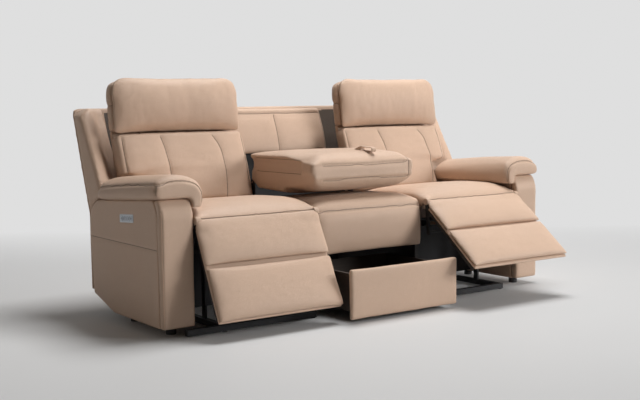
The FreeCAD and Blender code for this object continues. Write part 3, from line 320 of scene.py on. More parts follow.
def stained_board(name, dark, pale):
    f = Finish(name)
    rings = f.noise(26.0, 5.0, f.stretched((0.25, 1.0, 6.0)))
    fine = f.noise(300.0, 3.0, f.stretched((0.06, 1.0, 1.0)))
    f.set(Base_Color=f.mix((rings * 0.75 + fine * 0.25).limited(), dark, pale))
    f.set(Roughness=(0.5 + fine * 0.25).limited())
    f.set(Normal=f.bump(fine, 0.0003))
    return f.material


def moulded_plastic(name, color, gloss):
    f = Finish(name)
    texture = f.cells(900.0)
    haze = f.noise(14.0, 3.0)
    paler = tuple(channel * 1.5 + 0.008 for channel in color)
    f.set(Base_Color=f.mix(haze, color, paler))
    f.set(Roughness=(gloss + haze * 0.15).limited())
    f.set(Normal=f.bump(texture, 0.00015))
    return f.material


def brushed_metal(name, color, gloss):
    f = Finish(name)
    lines = f.noise(900.0, 2.0, f.stretched((1.0, 0.02, 1.0)))
    haze = f.noise(18.0, 3.0)
    duller = tuple(channel * 0.78 for channel in color)
    f.set(Base_Color=f.mix((lines * 0.6 + haze * 0.4).limited(), duller, color))
    f.set(Metallic=0.9, Roughness=(gloss + lines * 0.18).limited())
    f.set(Normal=f.bump(lines, 0.00012))
    return f.material


black_steel = painted_steel("black_steel", (0.022, 0.022, 0.024), 0.42)
black_board = stained_board("black_board", (0.010, 0.009, 0.009), (0.030, 0.026, 0.024))
# A dark brown that paints the shade on the sides of the seat boxes.
skirt_board_painted_shade = stained_board("skirt_board_painted_shade", (0.115, 0.080, 0.062), (0.17, 0.12, 0.095))
drawer_board = stained_board("drawer_board", (0.030, 0.022, 0.018), (0.075, 0.052, 0.038))
black_plastic = moulded_plastic("black_plastic", (0.018, 0.018, 0.020), 0.48)
silver_metal = brushed_metal("silver_metal", (0.62, 0.65, 0.69), 0.30)
bright_steel = brushed_metal("bright_steel", (0.56, 0.57, 0.58), 0.26)
print("works finishes are ready")

# %% [markdown]
# The black cloth under the sofa is a bonded fabric, so it gets a fine speckle of fibres and
# almost no gloss.

# %% Bonded cloth and button plastic


def bonded_cloth(name, color):
    f = Finish(name)
    fibres = f.noise(700.0, 4.0, f.stretched((1.0, 0.3, 1.0)))
    dimples = f.cells(260.0)
    lighter = tuple(channel * 2.2 + 0.01 for channel in color)
    f.set(Base_Color=f.mix((fibres * 0.8 + dimples * 0.2).limited(), color, lighter))
    f.set(Roughness=(0.80 + fibres * 0.15).limited())
    f.set(Normal=f.bump(fibres + dimples * 0.5, 0.0003))
    f.set(Sheen_Weight=0.15)
    return f.material


# Its black paints the shade under the end seats and low on the rear's inner side.
black_shade_cloth = bonded_cloth("black_shade_cloth", (0.012, 0.012, 0.013))
button_plastic = moulded_plastic("button_plastic", linear(176, 182, 190), 0.34)
dark_mark = moulded_plastic("dark_mark", linear(52, 60, 70), 0.4)
print("cloth and button finishes are ready")

# %% [markdown]
# ## Soft forms
# Each cushion starts as the measured solid, which already has the right size. It is meshed
# afresh into even squares, drawn in a little, and its edges are relaxed as foam under leather
# would be. The mesh work is done on plain arrays of points, which is quick.

# %% Points of a mesh


def smoothed(mesh, smooth=True):
    mesh.polygons.foreach_set("use_smooth", [smooth] * len(mesh.polygons))
    mesh.update()


def new_piece(name, mesh, *materials):
    obj = bpy.data.objects.new(name, mesh)
    bpy.context.collection.objects.link(obj)
    mesh.materials.clear()
    for material in materials:
        mesh.materials.append(material)
    smoothed(mesh)
    return obj


def points_of(mesh):
    flat = np.empty(len(mesh.vertices) * 3)
    mesh.vertices.foreach_get("co", flat)
    return flat.reshape(-1, 3)


def normals_of(mesh):
    flat = np.empty(len(mesh.vertices) * 3)
    mesh.vertex_normals.foreach_get("vector", flat)
    return flat.reshape(-1, 3)


def put_points(mesh, points):
    mesh.vertices.foreach_set("co", np.ascontiguousarray(points, float).ravel())
    mesh.update()


print("point helpers are ready")

# %% [markdown]
# Some forms are joined or built first. A modifier then meshes them afresh, and it is made
# final at once, so that each next step works on a plain mesh.

# %% Forms and fresh meshes


def ended(shape, name):
    """The mesh that a shape under work has become."""
    mesh = bpy.data.meshes.new(name)
    shape.to_mesh(mesh)
    shape.free()
    return mesh


def joined_mesh(name, sources):
    """One mesh from the meshes of several nodes and extra forms."""
    shape = bmesh.new()
    for source in sources:
        shape.from_mesh(nodes[source].data if isinstance(source, str) else source)
    return ended(shape, name)


def quads_between(shape, rows, closed=False):
    """Faces between each row of points and the next one."""
    for a, b in zip(rows, rows[1:]):
        for index in range(len(a) if closed else len(a) - 1):
            following = (index + 1) % len(a)
            shape.faces.new((a[index], a[following], b[following], b[index]))


def prism_mesh(name, near, far):
    """A closed form between two outlines that have as many points."""
    shape = bmesh.new()
    ends = [[shape.verts.new(point) for point in outline] for outline in (near, far)]
    quads_between(shape, ends, True)
    shape.faces.new(ends[0])
    shape.faces.new(ends[1])
    bmesh.ops.recalc_face_normals(shape, faces=shape.faces)
    return ended(shape, name)


def block_mesh(low, high):
    """A plain block to add to a form before it is meshed afresh."""
    shape = bmesh.new()
    bmesh.ops.create_cube(shape, size=1)
    for vertex in shape.verts:
        vertex.co = Vector([(a + b) / 2 + c * (b - a) for a, b, c in zip(low, high, vertex.co)])
    return ended(shape, "block")


def applied(obj):
    """The mesh of an object with its modifiers made final."""
    seen = obj.evaluated_get(bpy.context.evaluated_depsgraph_get())
    made = bpy.data.meshes.new_from_object(seen)
    obj.modifiers.clear()
    old = obj.data
    obj.data = made
    bpy.data.meshes.remove(old)
    return made


def remeshed(obj, size):
    """An even mesh of small squares over the same form."""
    step = obj.modifiers.new("remesh", "REMESH")
    step.mode = "VOXEL"
    step.voxel_size = size
    return applied(obj)


def refined(obj):
    """Each square divided into four smooth ones."""
    step = obj.modifiers.new("refine", "SUBSURF")
    step.levels = step.render_levels = 1
    return applied(obj)


print("form helpers are ready")

# %% [markdown]
# Three plain moves give a cushion its form: points drawn towards their neighbours, corners
# rounded as seen square on, and growth towards both ends of one direction.

# %% Relax, round and stretch


def averages(mesh):
    """A function that gives each point of a mesh the average of its neighbours" values."""
    edges = np.empty(len(mesh.edges) * 2, int)
    mesh.edges.foreach_get("vertices", edges)
    first, second = edges.reshape(-1, 2).T
    size = len(mesh.vertices)
    count = np.bincount(first, minlength=size) + np.bincount(second, minlength=size)

    def average(values):
        total = np.zeros_like(values)
        for axis in range(values.shape[1]):
            total[:, axis] += np.bincount(first, values[second, axis], size)
            total[:, axis] += np.bincount(second, values[first, axis], size)
        return total / count[:, None]

    return average


def relaxed(mesh, rounds, grip=0.5):
    """Moves each point towards the middle of its neighbours, a few times over."""
    points = points_of(mesh)
    average = averages(mesh)
    for _ in range(rounds):
        points = points + (average(points) - points) * grip
    put_points(mesh, points)


def rounded(points, origin, across, up, box, radii):
    """Rounds the corners of a form, seen square on, in the plane of two directions."""
    across, up = np.array(across), np.array(up)
    points = points.copy()
    for (side_a, side_b), radius in radii.items():
        a = (points - np.array(origin)) @ across
        b = (points - np.array(origin)) @ up
        end_a = box[1] if side_a > 0 else box[0]
        end_b = box[3] if side_b > 0 else box[2]
        into_a = (a - end_a) * side_a + radius
        into_b = (b - end_b) * side_b + radius
        inside = (into_a > 0) & (into_b > 0)
        share_a = np.clip(into_a / radius, 0, 1)
        share_b = np.clip(into_b / radius, 0, 1)
        back_a = into_a * (np.sqrt(1 - share_b**2 / 2) - 1) * side_a * inside
        back_b = into_b * (np.sqrt(1 - share_a**2 / 2) - 1) * side_b * inside
        points += back_a[:, None] * across + back_b[:, None] * up
    return points


def stretched_along(points, origin, up, low, high, more_low, more_high):
    """Lets a form grow towards both ends of one direction."""
    up = np.array(up)
    reach = (points - np.array(origin)) @ up
    middle = (low + high) / 2
    share = (reach - middle) / (high - low) * 2
    grow = np.where(share > 0, share * more_high, share * more_low)
    return points + grow[:, None] * up


print("three moves are ready")

# %% [markdown]
# ## Seams
# A seam is a line on the surface. The cover dips along it, little puckers stand across it,
# and a folded edge of leather lies in the dip. A seam is given by a few points near the
# surface: they are joined by a smooth curve and dropped onto the cover.

# %% Smooth lines through points
SEAM_STEP = 0.004
# How finely a straight line, and each span of a curve, is drawn before it is spaced evenly.
LINE_STEPS, SPAN_STEPS = 60, 24
# How many times a dropped line and its normals are evened out.
LINE_ROUNDS, NORMAL_ROUNDS = 24, 4


def smooth_line(points):
    """A rounded line through points, with even spacing."""
    points = [Vector(point) for point in points]
    if len(points) == 2:
        dense = [points[0].lerp(points[1], step / LINE_STEPS) for step in range(LINE_STEPS + 1)]
    else:
        dense = []
        padded = [points[0] * 2 - points[1]] + points + [points[-1] * 2 - points[-2]]
        for index in range(1, len(padded) - 2):
            a, b, c, d = padded[index - 1 : index + 3]
            for step in range(SPAN_STEPS):
                t = step / SPAN_STEPS
                spot = 2 * b + (c - a) * t + (2 * a - 5 * b + 4 * c - d) * t**2
                dense.append(0.5 * (spot + (3 * b - a - 3 * c + d) * t**3))
        dense.append(points[-1])
    return evenly(dense, SEAM_STEP)


def evenly(dense, spacing):
    """The same line with points at equal distances."""
    lengths = [0.0]
    for a, b in zip(dense, dense[1:]):
        lengths.append(lengths[-1] + (b - a).length)
    count = max(int(lengths[-1] / spacing), 2)
    result = []
    index = 0
    for step in range(count + 1):
        wanted = lengths[-1] * step / count
        while index < len(dense) - 2 and lengths[index + 1] < wanted:
            index += 1
        gap = lengths[index + 1] - lengths[index]
        share = (wanted - lengths[index]) / gap if gap > 1e-9 else 0
        result.append(dense[index].lerp(dense[index + 1], min(max(share, 0), 1)))
    return result


def dropped(line, surface):
    """A line's points moved to the nearest places on a surface, with the normals there."""
    places = [surface.find_nearest(point)[0] for point in line]
    for _ in range(LINE_ROUNDS):
        inner = [(a + b * 2 + c) / 4 for a, b, c in zip(places, places[1:], places[2:])]
        places = [places[0], *inner, places[-1]]
    found = [surface.find_nearest(point) for point in places]
    normals = [normal for _, normal, _, _ in found]
    for _ in range(NORMAL_ROUNDS):
        inner = [(a + b + c).normalized() for a, b, c in zip(normals, normals[1:], normals[2:])]
        normals = [normals[0], *inner, normals[-1]]
    return [(place, normal) for (place, _, _, _), normal in zip(found, normals)]


print("line helpers are ready")

# %% [markdown]
# The dip and its puckers are real shape, pressed into the refined mesh. Search trees find the
# place on a seam that is nearest to each point of the cover.

# %% Press seams into a cover
PUCKER, PUCKER_LENGTH, PUCKER_REACH = 0.0005, 0.022, 0.009
# How far the puckers stray from an even row, and how quickly that changes.
PUCKER_STRAY, STRAY_SCALE = 3, 14
DIP_WIDTH = 0.006
# Steps from seed to seed, and the fall, gap and number of a ripple's layers.
SEED_STEPS = (7.3, 3.1, 5.7)
RIPPLE_LAYERS = (0.6, 2.0, 3)


def tree_of(spots):
    """A search tree over places."""
    tree = KDTree(len(spots))
    for index, spot in enumerate(spots):
        tree.insert(spot, index)
    tree.balance()
    return tree


def surface_of(mesh):
    """A search tree over a mesh."""
    return BVHTree.FromPolygons(
        [vertex.co.copy() for vertex in mesh.vertices],
        [tuple(polygon.vertices) for polygon in mesh.polygons],
    )


def press_seams(mesh, lines, depth, pucker):
    """Sinks a cover along its seams, with small folds across them."""
    surface = surface_of(mesh)
    spots = []
    along = []
    for line in lines:
        for step, (place, _) in enumerate(dropped(line, surface)):
            spots.append(place)
            along.append(step * SEAM_STEP)
    tree = tree_of(spots)
    points = points_of(mesh)
    normals = normals_of(mesh)
    reach = 3 * max(DIP_WIDTH, PUCKER_REACH)
    for index in range(len(points)):
        _, nearest, distance = tree.find(points[index])
        if distance > reach:
            continue
        sink = depth * math.exp(-((distance / DIP_WIDTH) ** 2))
        turned = along[nearest] / PUCKER_LENGTH * math.tau
        stray = PUCKER_STRAY * noise.noise(Vector(points[index]) * STRAY_SCALE)
        wave = math.sin(turned + stray)
        fold = pucker * wave * math.exp(-distance / PUCKER_REACH)
        points[index] += normals[index] * (fold - sink)
    put_points(mesh, points)


def ripple(mesh, amount, scale, seed):
    """Slow soft waves in the leather; the scale differs along each axis."""
    points = points_of(mesh)
    normals = normals_of(mesh)
    shift = Vector([seed * step for step in SEED_STEPS])
    for index, point in enumerate(points):
        where = Vector([a * b for a, b in zip(point, scale)]) + shift
        points[index] += normals[index] * amount * noise.fractal(where, *RIPPLE_LAYERS)
    put_points(mesh, points)


print("seam tools are ready")

# %% [markdown]
# The line that shows in a seam is the folded leather edge. It is a thin tube that follows
# the pressed surface. Its darker leather stands for that edge and also paints part of the shade
# in the dip. One mesh holds all the tubes of a piece.

# %% Tubes along lines
# What share of its radius a tube has at its end, one step in, and from there on.
TAPER = (0.55, 0.85, 1)


def tube_mesh(name, routes, radius, sides=8, lift=0.0):
    """Tubes along routes, each a list of points with normals."""
    shape = bmesh.new()
    for route in routes:
        rings = []
        for index, (place, normal) in enumerate(route):
            ahead = route[min(index + 1, len(route) - 1)][0]
            behind = route[max(index - 1, 0)][0]
            way = (ahead - behind).normalized()
            across = way.cross(normal).normalized()
            upward = across.cross(way)
            ends = min(index, len(route) - 1 - index)
            size = radius * TAPER[min(ends, 2)]
            centre = place + upward * lift
            ring = []
            for side in range(sides):
                angle = math.tau * side / sides
                spoke = across * math.cos(angle) + upward * math.sin(angle)
                ring.append(shape.verts.new(centre + spoke * size))
            rings.append(ring)
        quads_between(shape, rings, True)
        shape.faces.new(rings[0][::-1])
        shape.faces.new(rings[-1])
    bmesh.ops.recalc_face_normals(shape, faces=shape.faces)
    return ended(shape, name)


print("tube tool is ready")

# %% [markdown]
# ## Covering a cushion
# `cover` puts the steps together: a fresh mesh, softened edges, the cushion's own shape, air
# under the leather, ripples, a refined surface, the pressed seams, and the welts in them. A
# point that strays further than the allowed stand-off outside the measured solid is pulled
# back, so neighbouring cushions stay clear of each other.

# %% Cover a cushion


def pulled_back(mesh, surface, allowed):
    """Keeps a cover within an allowed stand-off of its solid."""
    points = points_of(mesh)
    for index, point in enumerate(points):
        place, normal, _, distance = surface.find_nearest(point)
        if distance > allowed and (Vector(point) - place).dot(normal) > 0:
            way = (Vector(point) - place).normalized()
            points[index] = place + way * allowed
    put_points(mesh, points)


def cover(
    name,
    sources,
    body,
    seams=(),
    size=0.010,
    soften=4,
    depth=0.004,
    waves=0.0012,
    wave_scale=(7, 7, 7),
    seed=1,
    welt=0.0011,
    welt_finish=None,
    stand_off=0.010,
    swell=0.0,
    drawn_in=0.006,
    shape=None,
):
    """Makes the leather cover of one cushion or panel and its welts."""
    names = [source for source in sources if isinstance(source, str)]
    solid = joined_mesh(name, sources)
    surface = surface_of(solid)
    obj = new_piece(name, solid, cover_leather)
    mesh = remeshed(obj, size)
    relaxed(mesh, soften)
    if shape:
        put_points(mesh, shape(points_of(mesh)))
    lines = [smooth_line(points) for points in seams]
    if swell:
        blow_up(obj, lines, swell, drawn_in)
        mesh = obj.data
    if waves:
        ripple(mesh, waves, wave_scale, seed)
    mesh = refined(obj)
    if lines:
        press_seams(mesh, lines, depth, PUCKER)
        relaxed(mesh, rounds=1, grip=0.4)
    pulled_back(mesh, surface, stand_off)
    smoothed(mesh)
    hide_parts(*names)
    frame_slot(names[0])
    if body:
        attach(obj, body)
    if lines and welt:
        finished = surface_of(mesh)
        routes = [dropped(line, finished) for line in lines]
        tubes = tube_mesh(name + "_welt", routes, welt, lift=welt * 0.3)
        # Unless told otherwise, welts are darker leather that paints part of the shade in the
        # seam's dip.
        cords = new_piece(name + "_welt", tubes, welt_finish or piping_and_shade_leather)
        frame_slot(names[0])
        if body:
            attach(cords, body)
    print(name, len(mesh.vertices), "points")
    return obj


def frame_slot(node):
    """The material slot of a node in the record."""
    for entry in frame["record"]["subparts"]:
        if entry["node"] == node:
            return entry["material_slot"]
    raise ValueError(node)


print("the cover tool is ready")

# %% [markdown]
# ## Blowing up a cushion
# Foam presses a cover outwards, and the seams hold it back, which is what makes a cushion
# look filled. A short cloth simulation with air pressure does the same: points near a seam
# are pinned. The cap keeps any point from moving too far.

# %% Cloth with air pressure
AIR_FRAMES = 12
PRESSURE = 4
STRETCH_STIFFNESS, FOLD_STIFFNESS = 15, 5
# How near a seam a point is held, and how far from one the cushion is at its full swell.
HELD_REACH, SWELL_REACH = 0.009, 0.022
FAR_FROM_SEAMS = 1.0
# What share of the swell is plain filling, and what share the cloth's own motion.
FILLING_SHARE, CLOTH_SHARE = 0.6, 0.4
# How many times the form and the filling are evened, and how many times the cloth's motion.
FORM_ROUNDS, MOTION_ROUNDS = 2, 8


def evened(values, mesh, rounds):
    """A field of vectors on a mesh, averaged with its neighbours a few times over."""
    average = averages(mesh)
    for _ in range(rounds):
        values = (values + average(values)) / 2
    return values


def seam_distance(points, lines):
    """How far each point lies from the nearest seam."""
    if not lines:
        return np.full(len(points), FAR_FROM_SEAMS)
    tree = tree_of([point for line in lines for point in line])
    return np.array([tree.find(point)[2] for point in points])


def simulated(obj, held):
    """How air pressure moves each point of a cover whose held points stay."""
    before = points_of(obj.data)
    group = obj.vertex_groups.new(name="held")
    group.add([int(index) for index in held], 1.0, "REPLACE")
    cloth = obj.modifiers.new("cloth", "CLOTH")
    settings = cloth.settings
    settings.quality = 3
    settings.mass = 0.4
    settings.tension_stiffness = settings.compression_stiffness = STRETCH_STIFFNESS
    settings.shear_stiffness = settings.bending_stiffness = FOLD_STIFFNESS
    settings.use_pressure = True
    settings.uniform_pressure_force = PRESSURE
    settings.effector_weights.gravity = 0
    settings.vertex_group_mass = "held"
    cloth.point_cache.frame_end = AIR_FRAMES
    for step in range(1, AIR_FRAMES + 1):
        bpy.context.scene.frame_set(step)
    after = applied(obj)
    bpy.context.scene.frame_set(1)
    moved = points_of(after) - before
    put_points(after, before)
    return moved


def blow_up(obj, lines, cap, drawn_in):
    """Draws a cover in and blows it up again, so that it swells between its seams."""
    mesh = obj.data
    points = points_of(mesh)
    normals = normals_of(mesh)
    gap = seam_distance(points, lines)
    drawn = points - normals * drawn_in
    put_points(mesh, drawn)
    relaxed(mesh, FORM_ROUNDS)
    drawn = points_of(mesh)
    free = 1 - np.exp(-((gap / SWELL_REACH) ** 2))
    puffed = normals * (free * drawn_in)[:, None]
    moved = simulated(obj, np.nonzero(gap < HELD_REACH)[0])
    mesh = obj.data
    length = np.linalg.norm(moved, axis=1, keepdims=True)
    moved *= np.minimum(1, cap / np.maximum(length, 1e-9))
    puffed = puffed * FILLING_SHARE + evened(moved, mesh, MOTION_ROUNDS) * CLOTH_SHARE
    put_points(mesh, drawn + evened(puffed, mesh, FORM_ROUNDS))


print("air frames:", AIR_FRAMES)

# %% [markdown]
# ## Tracing a seam
# Some seams curve in a way that is hard to give in metres. Those are noted as places in a
# picture of 640 by 400, and a ray from the camera carries each one onto the cushion.

# %% From a place in the picture to a place on a cushion
PICTURE = (640, 400)


def traced(node, *places):
    """Where rays through places in the picture meet the surface of a node."""
    surface = surface_of(nodes[node].data)
    focal = LENS_MM / SENSOR_MM * PICTURE[0]
    found = []
    for across, down in places:
        sideways, upwards = across - PICTURE[0] / 2, PICTURE[1] / 2 - down
        ray = turn @ Vector((sideways / focal, upwards / focal, -1))
        place, _, _, _ = surface.ray_cast(CAMERA_PLACE, ray.normalized())
        if place is None:
            print("  a ray misses", node, "at", across, down)
        else:
            found.append(place)
    return found


print("tracing is ready")

# %% [markdown]
# ## Seats
# A recliner seat is one deep cushion. Its crown is highest a third of the way back, its long
# edges are rounded, and it grows sideways until it meets its neighbours. At each front
# corner the leather runs on over the hinge, so a block is added there before the remesh.

# %% Seat cushions
SIDES = {"left": -1, "right": 1}
ACROSS, UPWARD, FORWARD = (1, 0, 0), (0, 0, 1), (0, -1, 0)
MIDDLE = (0, 0, 0)
# The inner and the outer edge of an end seat, from the sofa's middle.
SEAT_NEAR, SEAT_FAR = 0.321, 0.945
CAP_DEPTH, CAP_HEIGHT = (-0.2985, -0.215), (0.455, 0.505)
CAPS = ((0.3215, 0.36), (0.905, 0.9445))


def spread(sign, near, far):
    """Two distances from the sofa's middle as places on one side, the lower one first."""
    return sorted((near * sign, far * sign))


def widened(sign, near, far, *ways, more, radius):
    """A shape function: a form grows sideways; its edges towards some ways are rounded."""
    low, high = spread(sign, near, far)

    def shaped(points):
        for way in ways:
            reach = points @ np.array(way)
            box = (points[:, 0].min(), points[:, 0].max(), reach.min(), reach.max())
            edges = {(-1, 1): radius, (1, 1): radius}
            points = rounded(points, MIDDLE, ACROSS, way, box, edges)
        return stretched_along(points, MIDDLE, ACROSS, low, high, more, more)

    return shaped


def hinge_cap(sign, near, far):
    """The leather that runs on over the hinge at one front corner of a seat."""
    low, high = spread(sign, near, far)
    lowest, highest = zip((low, high), CAP_DEPTH, CAP_HEIGHT)
    return block_mesh(lowest, highest)


for side, sign in SIDES.items():
    cover(
        f"{side}_seat_leather",
        [f"{side}_seat_cushion"] + [hinge_cap(sign, *cap) for cap in CAPS],
        f"{side}_seat_unit",
        soften=6,
        swell=0.013,
        seed=2 + sign,
        wave_scale=(6, 9, 6),
        shape=widened(sign, SEAT_NEAR, SEAT_FAR, UPWARD, FORWARD, more=0.007, radius=0.035),
    )

# %% [markdown]
# ## Footrests
# The leather of a seat runs on over its nose and down to the footrest without a gap, which
# makers call a chaise seat. So the upper footrest cover starts on the nose, in a bead round
# the hinge.

# %% The nose over the hinge
HINGE_PLACE = at(0, 0.001, 0.483)
SWUNG_OUT = {"left": 25.8, "right": 51.9}
# The bead round the hinge, and the flap that runs down from it under the pad's leather.
BEAD_RADIUS, BEAD_STEPS = 0.0185, 8
FLAP_OUTER, FLAP_INNER, FLAP_LENGTH, FLAP_TOP = 0.0180, 0.0060, 0.045, 0.004
BEAD_REAR = Vector((0, -0.002, 0.006))
NOSE_ENDS = (0.3215, 0.9445)
NOSE_SEAM_LIFT = 0.019


def footrest_axes(side):
    """The way down the footrest and the way out of its face."""
    angle = math.radians(SWUNG_OUT[side])
    down = Vector((0, -math.sin(angle), -math.cos(angle)))
    out = Vector((0, -math.cos(angle), math.sin(angle)))
    return down, out


def nose_mesh(side, sign):
    """A rounded strip from the seat's nose to the top of the footrest pad."""
    down, out = footrest_axes(side)
    outline = []
    start = math.pi / 2
    end = math.atan2(out.z, -out.y)
    for step in range(BEAD_STEPS + 1):
        angle = start + (end - start) * step / BEAD_STEPS
        way = Vector((0, -math.cos(angle), math.sin(angle)))
        outline.append(HINGE_PLACE + way * BEAD_RADIUS)
    outline.append(HINGE_PLACE + out * FLAP_OUTER + down * FLAP_LENGTH)
    outline.append(HINGE_PLACE + out * FLAP_INNER + down * FLAP_LENGTH)
    outline.append(HINGE_PLACE + out * FLAP_INNER + down * FLAP_TOP)
    outline.append(HINGE_PLACE + BEAD_REAR)
    ends = [[(x, spot.y, spot.z) for spot in outline] for x in spread(sign, *NOSE_ENDS)]
    return prism_mesh("nose", *ends)


def bends_at_hinge(obj):
    """Bakes a piece's place into its mesh."""
    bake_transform(obj)


print("the hinges lie at a depth of", round(HINGE_PLACE.y, 4))

# %% [markdown]
# A footrest has two pads on one board. The upper one's cover takes the nose with it, with a
# seam where seat and footrest meet. A thin band of leather edges the board behind them.

# %% Footrest covers
for side, sign in SIDES.items():
    down, out = footrest_axes(side)
    seam_spot = HINGE_PLACE + (out + Vector(UPWARD)).normalized() * NOSE_SEAM_LIFT
    nose_seam = [(x * sign, seam_spot.y, seam_spot.z) for x in (0.335, 0.5, 0.63, 0.77, 0.93)]
    upper = cover(
        f"{side}_footrest_upper_leather",
        [f"{side}_footrest_upper_pad", nose_mesh(side, sign)],
        None,
        [nose_seam],
        size=0.008,
        swell=0.012,
        seed=5 + sign,
        depth=0.0025,
        welt=0.0,
        shape=widened(sign, SEAT_NEAR, SEAT_FAR, out, UPWARD, more=0.008, radius=0.03),
    )
    bends_at_hinge(upper)
    route = dropped(smooth_line(nose_seam), surface_of(upper.data))
    nose_welt = tube_mesh("nose_welt", [route], radius=0.0014)
    nose_welt = new_piece(f"{side}_nose_welt", nose_welt, piping_and_shade_leather)
    bends_at_hinge(nose_welt)
    cover(
        f"{side}_footrest_lower_leather",
        [f"{side}_footrest_lower_pad"],
        f"{side}_footrest_unit",
        size=0.009,
        swell=0.012,
        seed=8 + sign,
        shape=widened(sign, SEAT_NEAR, SEAT_FAR, out, more=0.006, radius=0.026),
    )
    cover(
        f"{side}_footrest_band",
        [f"{side}_footrest_board"],
        f"{side}_footrest_unit",
        size=0.0055,
        soften=2,
        waves=0.0,
    )

# %% [markdown]
# At each end of the hinge the leather is folded round the boss of the footrest's arm.

# %% Leather round the hinges
BOSS_RADIUS = 0.0175
BOSSES = ((0.3208, 0.345), (0.921, 0.9452))


def boss_mesh(low, high):
    """A short drum round the hinge's axis."""
    shape = bmesh.new()
    middle = Vector(((low + high) / 2, HINGE_PLACE.y, HINGE_PLACE.z))
    bmesh.ops.create_cone(
        shape,
        cap_ends=True,
        segments=40,
        radius1=BOSS_RADIUS,
        radius2=BOSS_RADIUS,
        depth=high - low,
        matrix=Matrix.Translation(middle) @ Matrix.Rotation(math.radians(90), 4, "Y"),
    )
    return ended(shape, "boss")


for side, sign in SIDES.items():
    drums = [boss_mesh(*spread(sign, *boss)) for boss in BOSSES]
    wraps = new_piece(f"{side}_hinge_wraps", joined_mesh("wraps", drums), cover_leather)
    remeshed(wraps, size=0.003)
    relaxed(wraps.data, rounds=3)
    smoothed(wraps.data)
    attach(wraps, f"{side}_seat_unit")
    print(wraps.name, len(wraps.data.vertices), "points")

# %% [markdown]
# ## Backs and headrests
# A back is a T: narrow between the arms, wide above them. Two curved seams divide its face
# into three channels, and one more runs down along each edge. The headrest is a pillow over
# a boxed shell at its rear, and their two covers take the same shape.

# %% Shapes of backs and headrests


def leaning(degrees):
    """The way up and the way out of the face of something that leans back."""
    angle = math.radians(degrees)
    return (0, math.sin(angle), math.cos(angle)), (0, -math.cos(angle), math.sin(angle))


BACK_PLACE = at(0, 0.702, 0.716)
BACK_UP, BACK_OUT = leaning(15)
BACK_NEAR, BACK_FAR = 0.321, 0.986
# Along the lean, from a back's middle: its foot, and its head before and after it grows.
BACK_FOOT, BACK_HEAD, BACK_GROWN = -0.245, 0.103, 0.119
# Out of the lean: from where it is rounded, and its face seen from the side and from above.
BACK_REAR, BACK_SIDE_FACE, BACK_PLAN_FACE = -0.02, 0.100, 0.105
GROW_UP, GROW_INNER, GROW_OUTER = 0.006, 0.018, 0.010
# A shoulder: from where outwards it sinks, between which heights, and how far.
SHOULDER_START, SHOULDER_LOW, SHOULDER_HIGH, SHOULDER_SAG = 0.865, -0.17, 0.02, 0.018
# Over what lengths that begins: outwards, down from the top and up from the foot.
FADE_OUTWARDS, FADE_DOWN, FADE_UP = 0.03, 0.09, 0.04
BACK_TOP_RADIUS, BACK_SIDE_RADIUS = 0.035, 0.03
HEADREST_PLACE = at(0, 0.700, 0.880)
HEADREST_UP, HEADREST_OUT = leaning(8)
PILLOW_NEAR, PILLOW_FAR = 0.321, 0.983
PILLOW_FOOT, PILLOW_HEAD = -0.046, 0.206
PILLOW_DOWN, PILLOW_UP, PILLOW_WIDER = 0.017, 0.021, 0.013
PILLOW_REAR, PILLOW_SIDE_FACE, PILLOW_PLAN_FACE = -0.05, 0.058, 0.060
PILLOW_GROWN = (-0.063, 0.227)
# The roundings of a headrest seen from the front, from the side and from above.
PILLOW_CORNERS = {(-1, 1): 0.08, (1, 1): 0.08, (-1, -1): 0.035, (1, -1): 0.035}
PILLOW_SIDE_EDGES = {(1, 1): 0.035, (1, -1): 0.052}
PILLOW_PLAN_EDGES = {(-1, 1): 0.035, (1, 1): 0.035}


def back_shape(points, wide):
    """Rounds the top of a back, and lets its shoulders sink onto the arm pads."""
    high = (BACK_FOOT, BACK_HEAD)
    corners = {(-1, 1): BACK_TOP_RADIUS, (1, 1): BACK_TOP_RADIUS}
    points = rounded(points, BACK_PLACE, ACROSS, BACK_UP, (*wide, *high), corners)
    points = stretched_along(points, BACK_PLACE, BACK_UP, *high, 0.0, GROW_UP)
    more = (GROW_OUTER, GROW_INNER) if wide[0] < 0 else (GROW_INNER, GROW_OUTER)
    points = stretched_along(points, MIDDLE, ACROSS, *wide, *more)
    up = (points - np.array(BACK_PLACE)) @ np.array(BACK_UP)
    outside = np.clip((np.abs(points[:, 0]) - SHOULDER_START) / FADE_OUTWARDS, 0, 1)
    below = np.clip((SHOULDER_HIGH - up) / FADE_DOWN, 0, 1)
    below = below * np.clip((up - SHOULDER_LOW) / FADE_UP, 0, 1)
    points = points - (outside * below * SHOULDER_SAG)[:, None] * np.array(BACK_UP)
    box = (BACK_REAR, BACK_SIDE_FACE, BACK_FOOT, BACK_GROWN)
    points = rounded(points, BACK_PLACE, BACK_OUT, BACK_UP, box, {(1, 1): BACK_TOP_RADIUS})
    box = (*wide, BACK_REAR, BACK_PLAN_FACE)
    edges = {(-1, 1): BACK_SIDE_RADIUS, (1, 1): BACK_SIDE_RADIUS}
    return rounded(points, BACK_PLACE, ACROSS, BACK_OUT, box, edges)


def pillow_shape(points, wide):
    """Rounds a headrest all round, and lets it grow up to its neighbours."""
    high = (PILLOW_FOOT, PILLOW_HEAD)
    box = (*wide, *high)
    points = rounded(points, HEADREST_PLACE, ACROSS, HEADREST_UP, box, PILLOW_CORNERS)
    more = (PILLOW_DOWN, PILLOW_UP)
    points = stretched_along(points, HEADREST_PLACE, HEADREST_UP, *high, *more)
    box = (PILLOW_REAR, PILLOW_SIDE_FACE, *PILLOW_GROWN)
    edges = PILLOW_SIDE_EDGES
    points = rounded(points, HEADREST_PLACE, HEADREST_OUT, HEADREST_UP, box, edges)
    points = stretched_along(points, MIDDLE, ACROSS, *wide, PILLOW_WIDER, PILLOW_WIDER)
    box = (*wide, PILLOW_REAR, PILLOW_PLAN_FACE)
    return rounded(points, HEADREST_PLACE, ACROSS, HEADREST_OUT, box, PILLOW_PLAN_EDGES)


print("backs lean 15 degrees and headrests 8")

